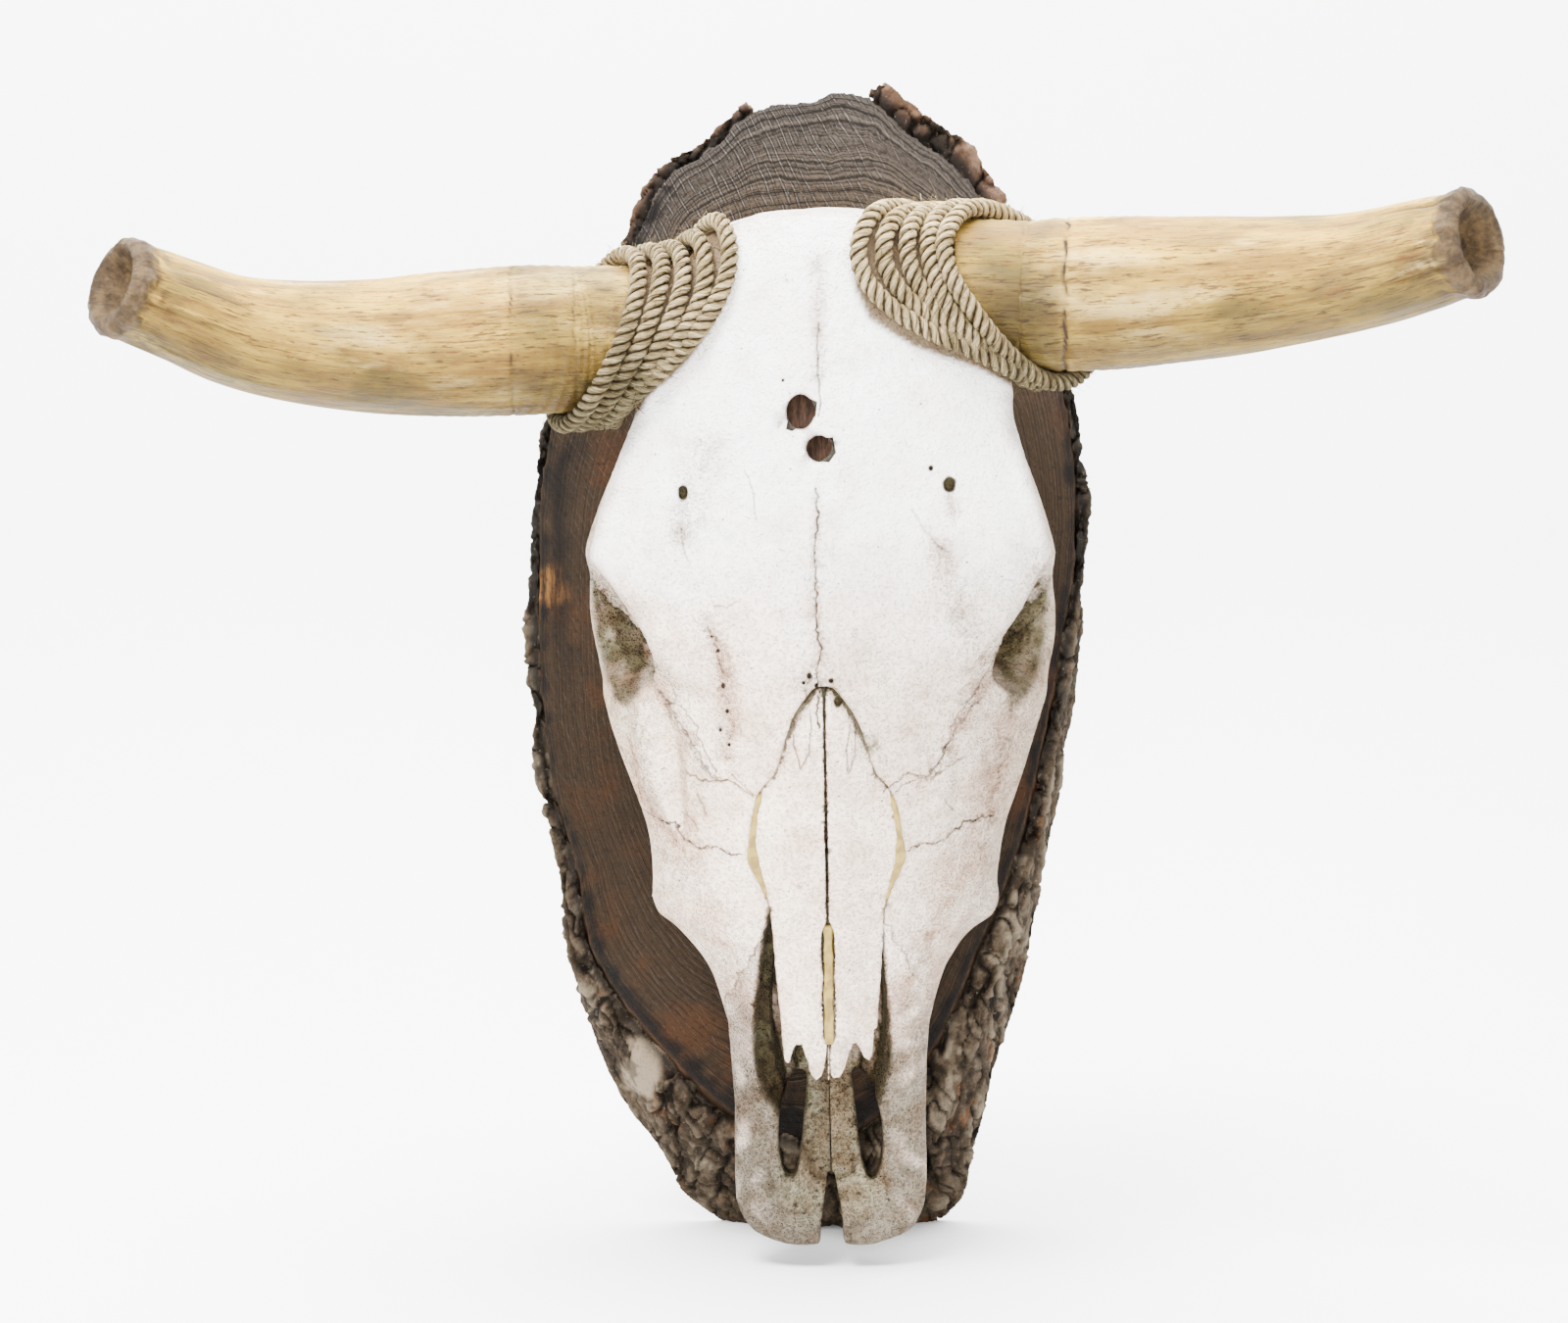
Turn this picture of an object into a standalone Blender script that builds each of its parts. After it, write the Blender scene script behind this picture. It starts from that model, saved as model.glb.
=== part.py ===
"""Steer skull with its horns, rope-lashed and fixed to an obliquely sawn live-edge log slab.

Sizes are millimetres; at() turns them into Blender's metres.  A place is given as
  x  across, from the slab's centre line, positive to the viewer's right
  h  height in front of the slab's sawn front face
  z  height above the slab's foot, the skull hanging nose down
The origin is the centre of the slab's flat back, which goes against a wall (+Y is into the wall).
"""
import math

import bmesh
import bpy
from mathutils import Vector, noise
from mathutils.bvhtree import BVHTree

# ---- driving dimensions -------------------------------------------------------------------
MM = 0.001
GAP = 0.4                      # clearance between neighbouring solids
SLAB_THICK = 50.0              # between the two sawn faces
SLAB_RUN = (8.0, -72.0)        # the log's lean: how far the back outline lies right and down
SLAB_TAPER = 0.94              # the back outline is this much narrower
FOOT_CUT = 3.0                 # the slab's foot is sawn off level here
ORIGIN_Z = 300.0               # the wall mount's height above the foot
ABOVE = 250.0                  # h clear in front of the skull, and clear behind it
BELOW = -20.0
FACE_DRIFT = 7.5               # the nose hangs this far right of the forehead's centre line
DRIFT_TOP = 400.0
DRIFT_FOOT = 30.0
HEAD_X = 2.0                   # centre of the forehead

ORBIT_CENTRE = (106.0, 133.0, 370.0)
ORBIT_AXIS = (0.85, 0.32, -0.42)
ORBIT_RADIUS = 31.0
# the socket's wall and its hollow: steps along its axis, positive outwards, and radii
ORBIT_CUP = ((3, 33.5), (0, 37.0), (-5, 38.0), (-14, 37.0), (-30, 31.0), (-48, 21.0), (-62, 9.0))
ORBIT_HOLLOW = ((30, 39.0), (8, 32.5), (0, 31.0), (-12, 30.5), (-30, 25.0), (-46, 15.5), (-56, 4.0))

NASAL_THICK = 4.0
NASAL_ARCH = 7.0               # how far a nasal bone falls from the middle to its outer edge
SCREW_HOLES = ((-9.0, 484.9, 7.4, 1.25), (0.5, 466.2, 7.0, 1.0))   # x, z, radius, stretch
HOLE_FLOOR = 120.0
BLOCK = (46.0, 58.0, 466.0, 146.0)  # mounting block: width, height, z of its middle, reach in h
SHAFT_SPARE = 22.0             # the shaft it stands in goes this much deeper

ROPE_RADIUS = 4.1
ROPE_STEPS = 16                # points in each turn
ROPE_SPAN = (0.25, 0.5, 0.75)  # where the straight steps are tested against the bone
ROPE_CLEAR = 1.0               # from the bone, whose curve the straight steps cut short
CORE_VOXEL = 1.6               # grain of the merged shape that the rope is drawn tight on
ROPE_SIDES = 6
# first (outermost) and last turn of a lashing: x at its top, front and foot; z at top and foot
LASH_LEFT = ((-101.0, -107.0, -143.0, 567.0, 480.0), (-43.5, -49.5, -100.0, 570.0, 481.0))
LASH_RIGHT = ((87.0, 82.0, 143.0, 586.0, 501.0), (38.0, 17.0, 83.0, 579.0, 499.0))
LASH_TURNS = 5
LASH_H = 150.0                 # height of a loose turn's middle, and its reach forward and back
LASH_DEPTH = 46.0
LASH_PASSES = 60
LASH_LAST = 10                 # closing passes, which only clear the bone
LASH_BEGIN = 0.35              # the rope starts and ends behind the horn
LASH_HOLD = 0.25               # how firmly the winding keeps its spread while it is drawn tight

# ---- profiles: one row per level, (z, half width, h under, h of widest, h on top) -----------
FRONTAL = ((586, 34, 120, 160, 184), (572, 62, 116, 162, 189), (545, 82, 112, 163, 194),
           (505, 98, 118, 162, 198), (480, 102, 126, 161, 199), (449, 112, 132, 162, 198),
           (420, 120.5, 138, 163, 195), (409, 123.5, 141, 163, 194), (396, 117, 140, 163, 192),
           (380, 107, 136, 163, 190), (366, 97, 130, 161, 187), (350, 88, 122, 156, 182),
           (330, 70, 112, 146, 174), (300, 44, 100, 130, 158))
FACE = ((386, 72, 70, 110, 170), (372, 104, 64, 108, 181), (360, 119, 60, 104, 184),
        (335, 124, 56, 99, 180), (310, 118, 54, 95, 173), (286, 111, 52, 93, 165),
        (262, 104.5, 50, 91, 157), (240, 100, 50, 88, 150), (222, 97, 50, 86, 145),
        (207, 91, 48, 85, 138), (192, 77, 46, 84, 133), (173, 65, 44, 82, 129),
        (149, 57.5, 40, 76, 119))
MUZZLE = ((175, 58, 38, 80, 118), (149, 56, 40, 74, 112), (115, 54.5, 42, 66, 92), (86, 53.5, 44, 62, 80),
          (57, 54, 46, 60, 73), (42, 53.5, 47, 59, 70), (30, 49, 49, 58, 67), (22, 41, 50, 58, 66),
          (16.5, 27, 52, 58, 64))
BRAINCASE = ((366, 44, 62, 105, 160), (395, 50, 54, 105, 160), (440, 60, 46, 100, 165),
             (480, 68, 42, 100, 168), (510, 74, 46, 104, 168), (540, 74, 58, 110, 165),
             (556, 62, 72, 118, 160))
ALVEOLI = ((160, 46, 37, 52, 70), (186, 56, 26, 50, 78), (205, 63, 20, 50, 84), (270, 68, 19, 48, 84),
           (330, 68, 19, 48, 90), (352, 60, 24, 50, 90))
BASE = ((355, 22, 40, 55, 70), (400, 20, 34, 50, 70), (470, 24, 32, 48, 70), (535, 26, 38, 52, 70))
BEAM = ((-97, 148, 525, 36.0), (-62, 149, 529, 35.5), (-44, 149, 533, 38.0), (-30, 149, 540, 43.0),
        (0, 149, 545, 44.0), (24, 149, 545, 43.5), (39, 149, 545, 38.0), (58, 150, 545, 35.5),
        (75, 150.5, 545.5, 35.5))                                           # x, h, z, radius
ARCH = ((112, 92, 338, 11), (119, 91, 360, 10), (121.5, 90, 385, 9), (119, 90, 412, 8.5),
        (110, 92, 440, 9), (96, 95, 465, 11), (74, 98, 486, 13))            # x, h, z, radius
JUGULAR = ((50, 80, 520, 13), (50, 45, 516, 11), (47, 16, 512, 8.5), (46, 9, 511, 7.5))
PALATE_WING = ((24, 58, 350, 8), (25, 36, 372, 7), (24, 34, 400, 7), (22, 46, 430, 9))
# rounded lumps of one side, centre (x, h, z) and half sizes: condyle, ear bone, jaw joint,
# temporal bone, cheek tuber
LUMPS = (((21, 62, 549), (15, 21, 19)), ((44, 42, 478), (15, 16, 19)), ((84, 84, 464), (21, 10, 15)),
         ((78, 128, 492), (24, 20, 20)), ((84, 84, 219), (15, 12, 17)))
POLL = ((0, 118, 545), (52, 50, 22))
MAGNUM = ((0, 84, 562), (17, 15, 34))                                       # opening for the spinal cord
SUTURE_Z = 380.0               # the middle of the cranium lies above this, that of the maxillae
MUZZLE_Z = 160.0               # between the two, that of the premaxillae below
NOSE_CAVITY = ((58, 14, 66), (80, 22, 60), (105, 27, 55), (130, 30, 50), (150, 31, 46), (178, 30, 42),
               (215, 27, 42), (250, 26, 44), (285, 16, 60))                # z, half width, floor h
NASAL_SEAT = ((190, 29.2), (210, 30.0), (222, 31.2), (232, 35.5), (247, 42.5), (258, 41.0), (275, 38.0),
              (285, 34.0), (294, 26.9), (311, 21.3), (327, 15.6), (342, 4.6))   # z, half width
# z, outer and inner half width; the two bones stand apart for the glue along their lower half
NASAL_EDGE = ((121, 22.5, GAP), (141, 24.1, GAP), (146, 24.5, 2.7), (179, 27.0, 2.7), (207, 28.6, 2.7),
              (213, 29.1, GAP), (219, 29.7, GAP), (232, 32.2, GAP), (244, 35.2, GAP), (258, 36.8, GAP),
              (271, 35.5, GAP), (285, 32.6, GAP), (294, 25.6, GAP), (311, 20.0, GAP), (327, 14.3, GAP),
              (341, 3.6, GAP))
NASAL_TOP = ((118, 114), (140, 120), (179, 131), (219, 143), (260, 155), (300, 168), (345, 181))
NASAL_NOTCH = ((7.0, 112), (18.5, 112), (12.5, 139))                         # x, z
NASAL_CORNER = ((16.0, 112), (30.0, 112), (30.0, 131), (18.0, 131))
FISSURE = ((55, 21, 23.5), (62, 18.5, 27), (75, 16, 29), (90, 14.5, 28.5), (105, 13, 24.5), (119, 12, 14))
SLOT = ((8, 6.5, BELOW, ABOVE), (30, 6.0, BELOW, ABOVE), (52, 3.4, BELOW, ABOVE), (72, 0.7, BELOW, ABOVE),
        (84, 0.3, BELOW, ABOVE), (278.9, 0.3, BELOW, ABOVE), (279.3, 0.3, BELOW, 119.67),
        (371.9, 0.3, BELOW, 18.11))                # z, half width, lower and upper h
GLUE_MID = (147.0, 206.0, 2.3)  # the bead between the two nasal bones: lower and upper z, half width
TEETH = ((204, 12), (219, 15), (236, 17), (257, 22), (283, 26), (314, 31))   # z of middle, length
TOOTH_RADIUS = 10.0            # across the jaw
TOOTH_X = 56.0
TOOTH_RINGS = ((30, 1.0), (6, 0.96), (GAP + 1.5, 0.9), (GAP, 0.8))           # h, share of its size

# parting lines, from the outer end to the midline: (x, z) on the face and (x, z) on the underside
SUTURE_FACE = ((150, 412), (124, 392), (89, 354), (80, 338), (69, 320), (57, 292), (45, 290),
               (33, 279), (0, 279))
SUTURE_BASE = ((150, 412), (124, 396), (96, 378), (85, 374), (72, 372), (60, 372), (45, 372),
               (30, 372), (0, 372))
SUTURE_LEVELS = ((ABOVE, 0.0), (120, 0.0), (18, 1.0), (BELOW, 1.0))            # h, share of the base line
MUZZLE_FACE = ((80, 146), (58, 158), (42, 190), (24, 224), (0, 224))
MUZZLE_BASE = ((80, 146), (58, 150), (42, 150), (24, 150), (0, 150))
MUZZLE_LEVELS = ((ABOVE, 0.0), (62, 0.0), (50, 1.0), (BELOW, 1.0))
HORN_LEFT = ((-98, 148, 523, 37.0), (-112, 149, 523, 37.3), (-128, 152, 522, 38.0), (-146, 159, 521.5, 38.6),
             (-160, 165, 521, 38.5), (-199, 182, 519, 36.7), (-228, 195, 518, 33.8), (-265, 213, 520.5, 30.6),
             (-293, 227, 526, 28.2), (-315, 240, 535, 26.0), (-330, 248, 541, 25.2),
             (-341, 254, 546, 25.6))                                        # x, h, z, radius
HORN_RIGHT = ((72, 150, 545.5, 39.0), (85, 150.5, 546, 38.2), (98, 151, 546, 37.8), (111, 151.5, 545, 38.2),
              (128, 158, 545, 39.5), (160, 172, 546, 39.0), (184, 183, 547, 37.3), (217, 198, 549, 34.6),
              (254, 216, 553, 31.2), (277, 228, 557, 29.2), (299, 240, 563, 27.6), (310, 247, 566, 26.8),
              (318, 252, 568, 27.0))
# the worn, sawn tip: steps along the horn's last direction and the ring's share of its radius
HORN_END = ((4.0, 0.99), (7.5, 0.90), (9.0, 0.74), (7.0, 0.60), (3.5, 0.46), (2.5, 0.22))
HORN_SIDES = 18
HORN_ROOT = 5                  # rows of a horn that lie beside the skull

# sawn face of the slab, clockwise from its top: (x, z)
SLAB_OUTLINE = ((10, 661), (60, 628), (104, 590), (130, 535), (146, 471), (148, 404), (136, 325),
                (118, 240), (94, 178), (72, 126), (46, 90), (9, 66), (-46, 80), (-97, 129), (-130, 178),
                (-147, 240), (-157, 325), (-158, 404), (-152, 471), (-128, 535), (-97, 584), (-45, 637))
# strips of bark: name, first and last place along the outline's points, thickness there
BARK_STRIPS = (("bark_top_right", 0.35, 2.6, 18.0, 10.0), ("bark_right", 2.62, 6.6, 7.0, 7.0),
               ("bark_low_right", 6.62, 10.0, 8.0, 26.0), ("bark_foot", 10.02, 12.6, 26.0, 16.0),
               ("bark_low_left", 12.62, 15.3, 16.0, 10.0), ("bark_left", 15.32, 19.0, 8.0, 6.0),
               ("bark_top_left", 19.02, 21.2, 11.0, 9.0))
BARK_ROUGH = 3.5
BARK_GAP = 0.8                 # from the wood, whose edge is a little rounder than the strip's

BONE = (0.83, 0.79, 0.72)
BONE_GREY = (0.55, 0.52, 0.43)
HORN = (0.60, 0.46, 0.26)
ROPE = (0.60, 0.47, 0.33)
WOOD = (0.10, 0.05, 0.03)
BARK = (0.20, 0.15, 0.11)
GLUE = (0.70, 0.52, 0.25)

# triangles kept in the skull before and after its holes are cut
SHAPE_TRIS = 8000
SKULL_TRIS = 2450
BONE_VOXEL = 2.2               # grain of the merged forms, and passes that ease their joints
BONE_EASE = 5
WELD = 0.00005                 # cut points closer than this are one point


# ---- small tools --------------------------------------------------------------------------
def drift(z):
    """Sideways lean of the face, nothing above the eyes and all of it at the nose."""
    share = (DRIFT_TOP - z) / (DRIFT_TOP - DRIFT_FOOT)
    return HEAD_X + FACE_DRIFT * min(1.0, max(0.0, share))


def at(x, h, z):
    """A place on the slab, in metres."""
    return Vector((x, -(SLAB_THICK + h), z - ORIGIN_Z)) * MM


def on_skull(x, h, z):
    """A place on the skull, whose own centre line leans."""
    return at(x + drift(z), h, z)


def smooth_row(rows, share):
    """Catmull-Rom value of the rows at a place counted in rows."""
    last = len(rows) - 1
    first = min(int(share), last - 1)
    t = share - first
    picks = [rows[min(max(first + k, 0), last)] for k in (-1, 0, 1, 2)]
    return [catmull(t, *(float(row[axis]) for row in picks)) for axis in range(len(rows[0]))]


def catmull(t, a, b, c, d):
    return b + 0.5 * t * (c - a + t * (2 * a - 5 * b + 4 * c - d + t * (3 * (b - c) + d - a)))


def value_at(rows, z, column=1):
    """Straight-line value of one column at a level."""
    rows = sorted(rows)
    for low, high in zip(rows, rows[1:]):
        if z <= high[0]:
            share = max(0.0, (z - low[0]) / (high[0] - low[0]))
            return low[column] + share * (high[column] - low[column])
    return rows[-1][column]


def mesh_object(name, bm):
    bmesh.ops.remove_doubles(bm, verts=bm.verts, dist=1e-6)
    bmesh.ops.recalc_face_normals(bm, faces=bm.faces)
    mesh = bpy.data.meshes.new(name)
    bm.to_mesh(mesh)
    bm.free()
    obj = bpy.data.objects.new(name, mesh)
    bpy.context.scene.collection.objects.link(obj)
    return obj


def loft(name, rings):
    """Closed solid through rings of equally many points, its two ends filled."""
    bm = bmesh.new()
    rows = [[bm.verts.new(point) for point in ring] for ring in rings]
    for low, high in zip(rows, rows[1:]):
        for k in range(len(low)):
            j = (k + 1) % len(low)
            bm.faces.new((low[k], low[j], high[j], high[k]))
    bm.faces.new(rows[0])
    bm.faces.new(rows[-1])
    return mesh_object(name, bm)


def signed_power(value, power):
    return math.copysign(abs(value) ** power, value)


def level_ring(z, half, under, middle, top, upper, lower, sides):
    """Ring at one level: a superellipse, widest at h = middle."""
    ring = []
    for k in range(sides):
        angle = 2 * math.pi * k / sides
        power = upper if math.sin(angle) >= 0 else lower
        reach = top - middle if math.sin(angle) >= 0 else middle - under
        x = half * signed_power(math.cos(angle), 2 / power)
        h = middle + reach * signed_power(math.sin(angle), 2 / power)
        ring.append(on_skull(x, h, z))
    return ring


def form(rows, upper=2.0, lower=2.0, sides=36, steps=4):
    """Solid of bone through level rows."""
    rings = []
    for k in range((len(rows) - 1) * steps + 1):
        z, half, under, middle, top = smooth_row(rows, k / steps)
        rings.append(level_ring(z, half, under, middle, top, upper, lower, sides))
    return loft("form", rings)


def frames(points):
    """Tangent and two side directions at each point, carried along without twist."""
    side = Vector((0, 0, 1))
    result = []
    for k in range(len(points)):
        tangent = (points[min(k + 1, len(points) - 1)] - points[max(k - 1, 0)]).normalized()
        side = (side - tangent * side.dot(tangent)).normalized()
        result.append((tangent, side, tangent.cross(side)))
    return result


def ring_round(point, radius, way, sides):
    """Ring of points square to a path."""
    _, side, other = way
    turn = [2 * math.pi * k / sides for k in range(sides)]
    return [point + (side * math.cos(a) + other * math.sin(a)) * radius for a in turn]


def sweep(name, points, radii, sides):
    """Round solid along a path."""
    rows = zip(points, radii, frames(points))
    return loft(name, [ring_round(point, radius, way, sides) for point, radius, way in rows])


def bar(rows, place, steps=4, sides=20):
    """Round bar through (x, h, z, radius) rows."""
    samples = [smooth_row(rows, k / steps) for k in range((len(rows) - 1) * steps + 1)]
    points = [place(x, h, z) for x, h, z, _ in samples]
    return sweep("bar", points, [row[3] * MM for row in samples], sides)


def ball(centre, size):
    """Ellipsoid with half sizes along x, h and z."""
    bm = bmesh.new()
    bmesh.ops.create_icosphere(bm, subdivisions=3, radius=1.0)
    for vert in bm.verts:
        x, y, z = vert.co
        vert.co = on_skull(centre[0] + x * size[0], centre[1] - y * size[1], centre[2] + z * size[2])
    return mesh_object("ball", bm)


def box(low, high):
    """Block between two corners given as (x, h, z)."""
    bm = bmesh.new()
    bmesh.ops.create_cube(bm, size=1.0)
    for vert in bm.verts:
        shares = [c + 0.5 for c in vert.co]
        vert.co = at(*(low[k] + shares[k] * (high[k] - low[k]) for k in range(3)))
    return mesh_object("box", bm)


def evaluated(obj):
    """Turn the object's modifiers into its mesh."""
    depsgraph = bpy.context.evaluated_depsgraph_get()
    mesh = bpy.data.meshes.new_from_object(obj.evaluated_get(depsgraph))
    obj.modifiers.clear()
    obj.data = mesh
    return obj


def join(objects):
    """One object of several, whose meshes stay as they are."""
    bm = bmesh.new()
    for obj in objects:
        bm.from_mesh(obj.data)
        bpy.data.objects.remove(obj)
    mesh = bpy.data.meshes.new("joined")
    bm.to_mesh(mesh)
    bm.free()
    joined = bpy.data.objects.new("joined", mesh)
    bpy.context.scene.collection.objects.link(joined)
    return joined


def grow_together(obj, voxel, passes):
    """Melt overlapping forms into one bone and ease the places where they meet."""
    remesh = obj.modifiers.new("melt", "REMESH")
    remesh.mode = "VOXEL"
    remesh.voxel_size = voxel * MM
    ease = obj.modifiers.new("ease", "SMOOTH")
    ease.factor = 0.5
    ease.iterations = passes
    return evaluated(obj)


def thin_out(obj, triangles):
    """Fewer triangles on the same shape."""
    count = sum(len(face.vertices) - 2 for face in obj.data.polygons)
    if count > triangles:
        fewer = obj.modifiers.new("fewer", "DECIMATE")
        fewer.ratio = triangles / count
        fewer.use_collapse_triangulate = True
        evaluated(obj)
    return obj


def cut(obj, cutters):
    """Take each cutter out of the object in turn; the cutters are used up."""
    for cutter in cutters:
        step = obj.modifiers.new("cut", "BOOLEAN")
        step.operation = "DIFFERENCE"
        step.solver = "EXACT"
        step.object = cutter
        evaluated(obj)
        bpy.data.objects.remove(cutter)
    return obj


def pieces(obj):
    """Split an object into its separate bodies, biggest first."""
    bm = bmesh.new()
    bm.from_mesh(obj.data)
    bmesh.ops.remove_doubles(bm, verts=bm.verts, dist=WELD)
    bmesh.ops.dissolve_degenerate(bm, edges=bm.edges, dist=WELD)
    bm.verts.ensure_lookup_table()
    left = set(bm.verts)
    found = []
    while left:
        group = [left.pop()]
        for vert in group:
            near = [edge.other_vert(vert) for edge in vert.link_edges]
            fresh = [other for other in near if other in left]
            left.difference_update(fresh)
            group.extend(fresh)
        found.append(group)
    found.sort(key=len, reverse=True)
    result = []
    for group in found:
        copy = bm.copy()
        copy.verts.ensure_lookup_table()
        keep = {vert.index for vert in group}
        drop = [vert for vert in copy.verts if vert.index not in keep]
        bmesh.ops.delete(copy, geom=drop, context="VERTS")
        mesh = bpy.data.meshes.new("piece")
        copy.to_mesh(mesh)
        copy.free()
        piece = bpy.data.objects.new("piece", mesh)
        bpy.context.scene.collection.objects.link(piece)
        result.append(piece)
    bm.free()
    bpy.data.objects.remove(obj)
    return result


def finish(obj, name, colour, roughness=0.7):
    """Name a finished piece and give it its material."""
    obj.name = name
    obj.data.name = name
    material = bpy.data.materials.new(name)
    material.use_nodes = True
    shader = material.node_tree.nodes["Principled BSDF"]
    shader.inputs["Base Color"].default_value = (*colour, 1.0)
    shader.inputs["Roughness"].default_value = roughness
    obj.data.materials.clear()
    obj.data.materials.append(material)
    obj.data.shade_smooth()
    obj.data.set_sharp_from_angle(angle=math.radians(40))
    return obj


# ---- the skull ----------------------------------------------------------------------------
def mirrored(rows, side):
    """Rows of (x, h, z, radius) for one side."""
    return [(side * x, h, z, radius) for x, h, z, radius in rows]


def orbit_frame(side):
    axis = Vector((side * ORBIT_AXIS[0], -ORBIT_AXIS[1], ORBIT_AXIS[2])).normalized()
    x, h, z = ORBIT_CENTRE
    return on_skull(side * x, h, z), axis


def orbit_form(name, side, steps, sides):
    """Round form along the socket's axis."""
    centre, axis = orbit_frame(side)
    points = [centre + axis * reach * MM for reach, _ in steps]
    return sweep(name, points, [radius * MM for _, radius in steps], sides)


def cheek_teeth(side):
    """Six upper cheek teeth, two-lobed on the outside, joined to the jaw."""
    turn = [2 * math.pi * k / 14 for k in range(14)]
    teeth = []
    for z, length in TEETH:
        for lobe in (-0.23, 0.23):
            rings = []
            for h, share in TOOTH_RINGS:
                wide, tall = TOOTH_RADIUS * share, length * 0.29 * share
                rings.append([on_skull(side * TOOTH_X + wide * math.cos(a), h,
                                       z + lobe * length + tall * math.sin(a)) for a in turn])
            teeth.append(loft("tooth", rings))
    return teeth


def side_forms(side):
    """Socket, cheek arch, lumps and prongs of one side."""
    lumps = [ball((side * x, h, z), size) for (x, h, z), size in LUMPS]
    prongs = [bar(mirrored(rows, side), on_skull) for rows in (ARCH, JUGULAR, PALATE_WING)]
    return [orbit_form("orbit_cup", side, ORBIT_CUP, 32)] + prongs + lumps + cheek_teeth(side)


def skull_forms():
    middle = [form(FRONTAL, upper=1.75, lower=1.6), form(FACE, upper=1.6, lower=1.8),
              form(MUZZLE, upper=1.7, lower=2.6), form(BRAINCASE, upper=2.6, lower=2.4),
              form(ALVEOLI, upper=3.0, lower=5.0), form(BASE, upper=2.5, lower=2.5),
              bar(BEAM, at), ball(*POLL)]
    return middle + side_forms(-1) + side_forms(1)


def level_prism(rows):
    """Cutter through rows of (z, half width, lower h, upper h)."""
    rings = []
    for z, half, low, high in rows:
        rings.append([on_skull(-half, low, z), on_skull(half, low, z),
                      on_skull(half, high, z), on_skull(-half, high, z)])
    return loft("prism", rings)


def nose_cavity():
    """Open trough of the nose: rounded floor, walls leaning a little outwards."""
    steps = 3
    rings = []
    for k in range((len(NOSE_CAVITY) - 1) * steps + 1):
        z, half, low = smooth_row(NOSE_CAVITY, k / steps)
        outline = ((-1.03, ABOVE), (-1.0, low + 30), (-0.93, low + 10), (-0.6, low), (0.6, low),
                   (0.93, low + 10), (1.0, low + 30), (1.03, ABOVE))
        rings.append([on_skull(share * half, h, z) for share, h in outline])
    return loft("nose_cavity", rings)


def nasal_seat():
    """Shallow bed that the two nasal bones lie in."""
    depth = NASAL_ARCH + NASAL_THICK + GAP
    return level_prism([(z, half, value_at(NASAL_TOP, z) - depth, ABOVE) for z, half in NASAL_SEAT])


def fissure(side):
    """Long hole through the palate beside the midline."""
    rings = []
    steps = 2
    for k in range((len(FISSURE) - 1) * steps + 1):
        z, inner, outer = smooth_row(FISSURE, k / steps)
        rings.append([on_skull(side * inner, 0, z), on_skull(side * outer, 0, z),
                      on_skull(side * outer, 130, z), on_skull(side * inner, 130, z)])
    return loft("fissure", rings)


def round_cutter(x, z, radius, stretch, low, high, sides=18):
    """Drilled hole, square to the forehead."""
    rings = []
    for h in (low, high):
        rings.append([at(x + radius * math.cos(a), h, z + radius * stretch * math.sin(a))
                      for a in (2 * math.pi * k / sides for k in range(sides))])
    return loft("hole", rings)


def hollows():
    """Nose, sockets and the opening for the spinal cord."""
    sockets = [orbit_form("orbit_hollow", side, ORBIT_HOLLOW, 28) for side in (-1, 1)]
    return [nose_cavity(), ball(*MAGNUM)] + sockets


def seats():
    """Cuts that other pieces sit in: the block's shaft, drilled holes, nasal bed, palate fissures, horns."""
    width, height, middle, reach = BLOCK
    shaft = box((-width / 2 - GAP, BELOW, middle - height / 2 - GAP),
                (width / 2 + GAP, reach + SHAFT_SPARE, middle + height / 2 + GAP))
    holes = [round_cutter(*hole, HOLE_FLOOR, ABOVE) for hole in SCREW_HOLES]
    sockets = [horn_socket(HORN_LEFT), horn_socket(HORN_RIGHT)]
    return [shaft, nasal_seat(), fissure(-1), fissure(1)] + sockets + holes


def whole(line):
    """Both halves of a parting line, which meet at the midline."""
    return [(-x, z) for x, z in line] + list(reversed(line[:-1]))


def curtain(name, face_line, base_line, levels):
    """Thin upright sheet that parts two bones, bent between a line on the face and one on the base."""
    bm = bmesh.new()
    rows = []
    for h, share in levels:
        rows.append([bm.verts.new(on_skull(fx + share * (bx - fx), h, fz + share * (bz - fz)))
                     for (fx, fz), (bx, bz) in zip(whole(face_line), whole(base_line))])
    for low, high in zip(rows, rows[1:]):
        for k in range(len(low) - 1):
            bm.faces.new((low[k], low[k + 1], high[k + 1], high[k]))
    bmesh.ops.triangulate(bm, faces=bm.faces)
    obj = mesh_object(name, bm)
    wall = obj.modifiers.new("wall", "SOLIDIFY")
    wall.thickness = GAP * MM
    wall.offset = 0.0
    return evaluated(obj)


def horn_socket(rows):
    """Room for the root of a horn, a gap larger than the horn all round."""
    points = [at(x, h, z) for x, h, z, _ in rows[:HORN_ROOT]]
    ways = frames(points)
    points[0] = points[0] - ways[0][0] * GAP * MM
    radii = [(row[3] + GAP) * MM for row in rows]
    return loft("socket", [ring_round(*row, HORN_SIDES) for row in zip(points, radii, ways)])


def parting_cutters():
    return [curtain("suture", SUTURE_FACE, SUTURE_BASE, SUTURE_LEVELS), level_prism(SLOT),
            curtain("muzzle", MUZZLE_FACE, MUZZLE_BASE, MUZZLE_LEVELS)]


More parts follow.
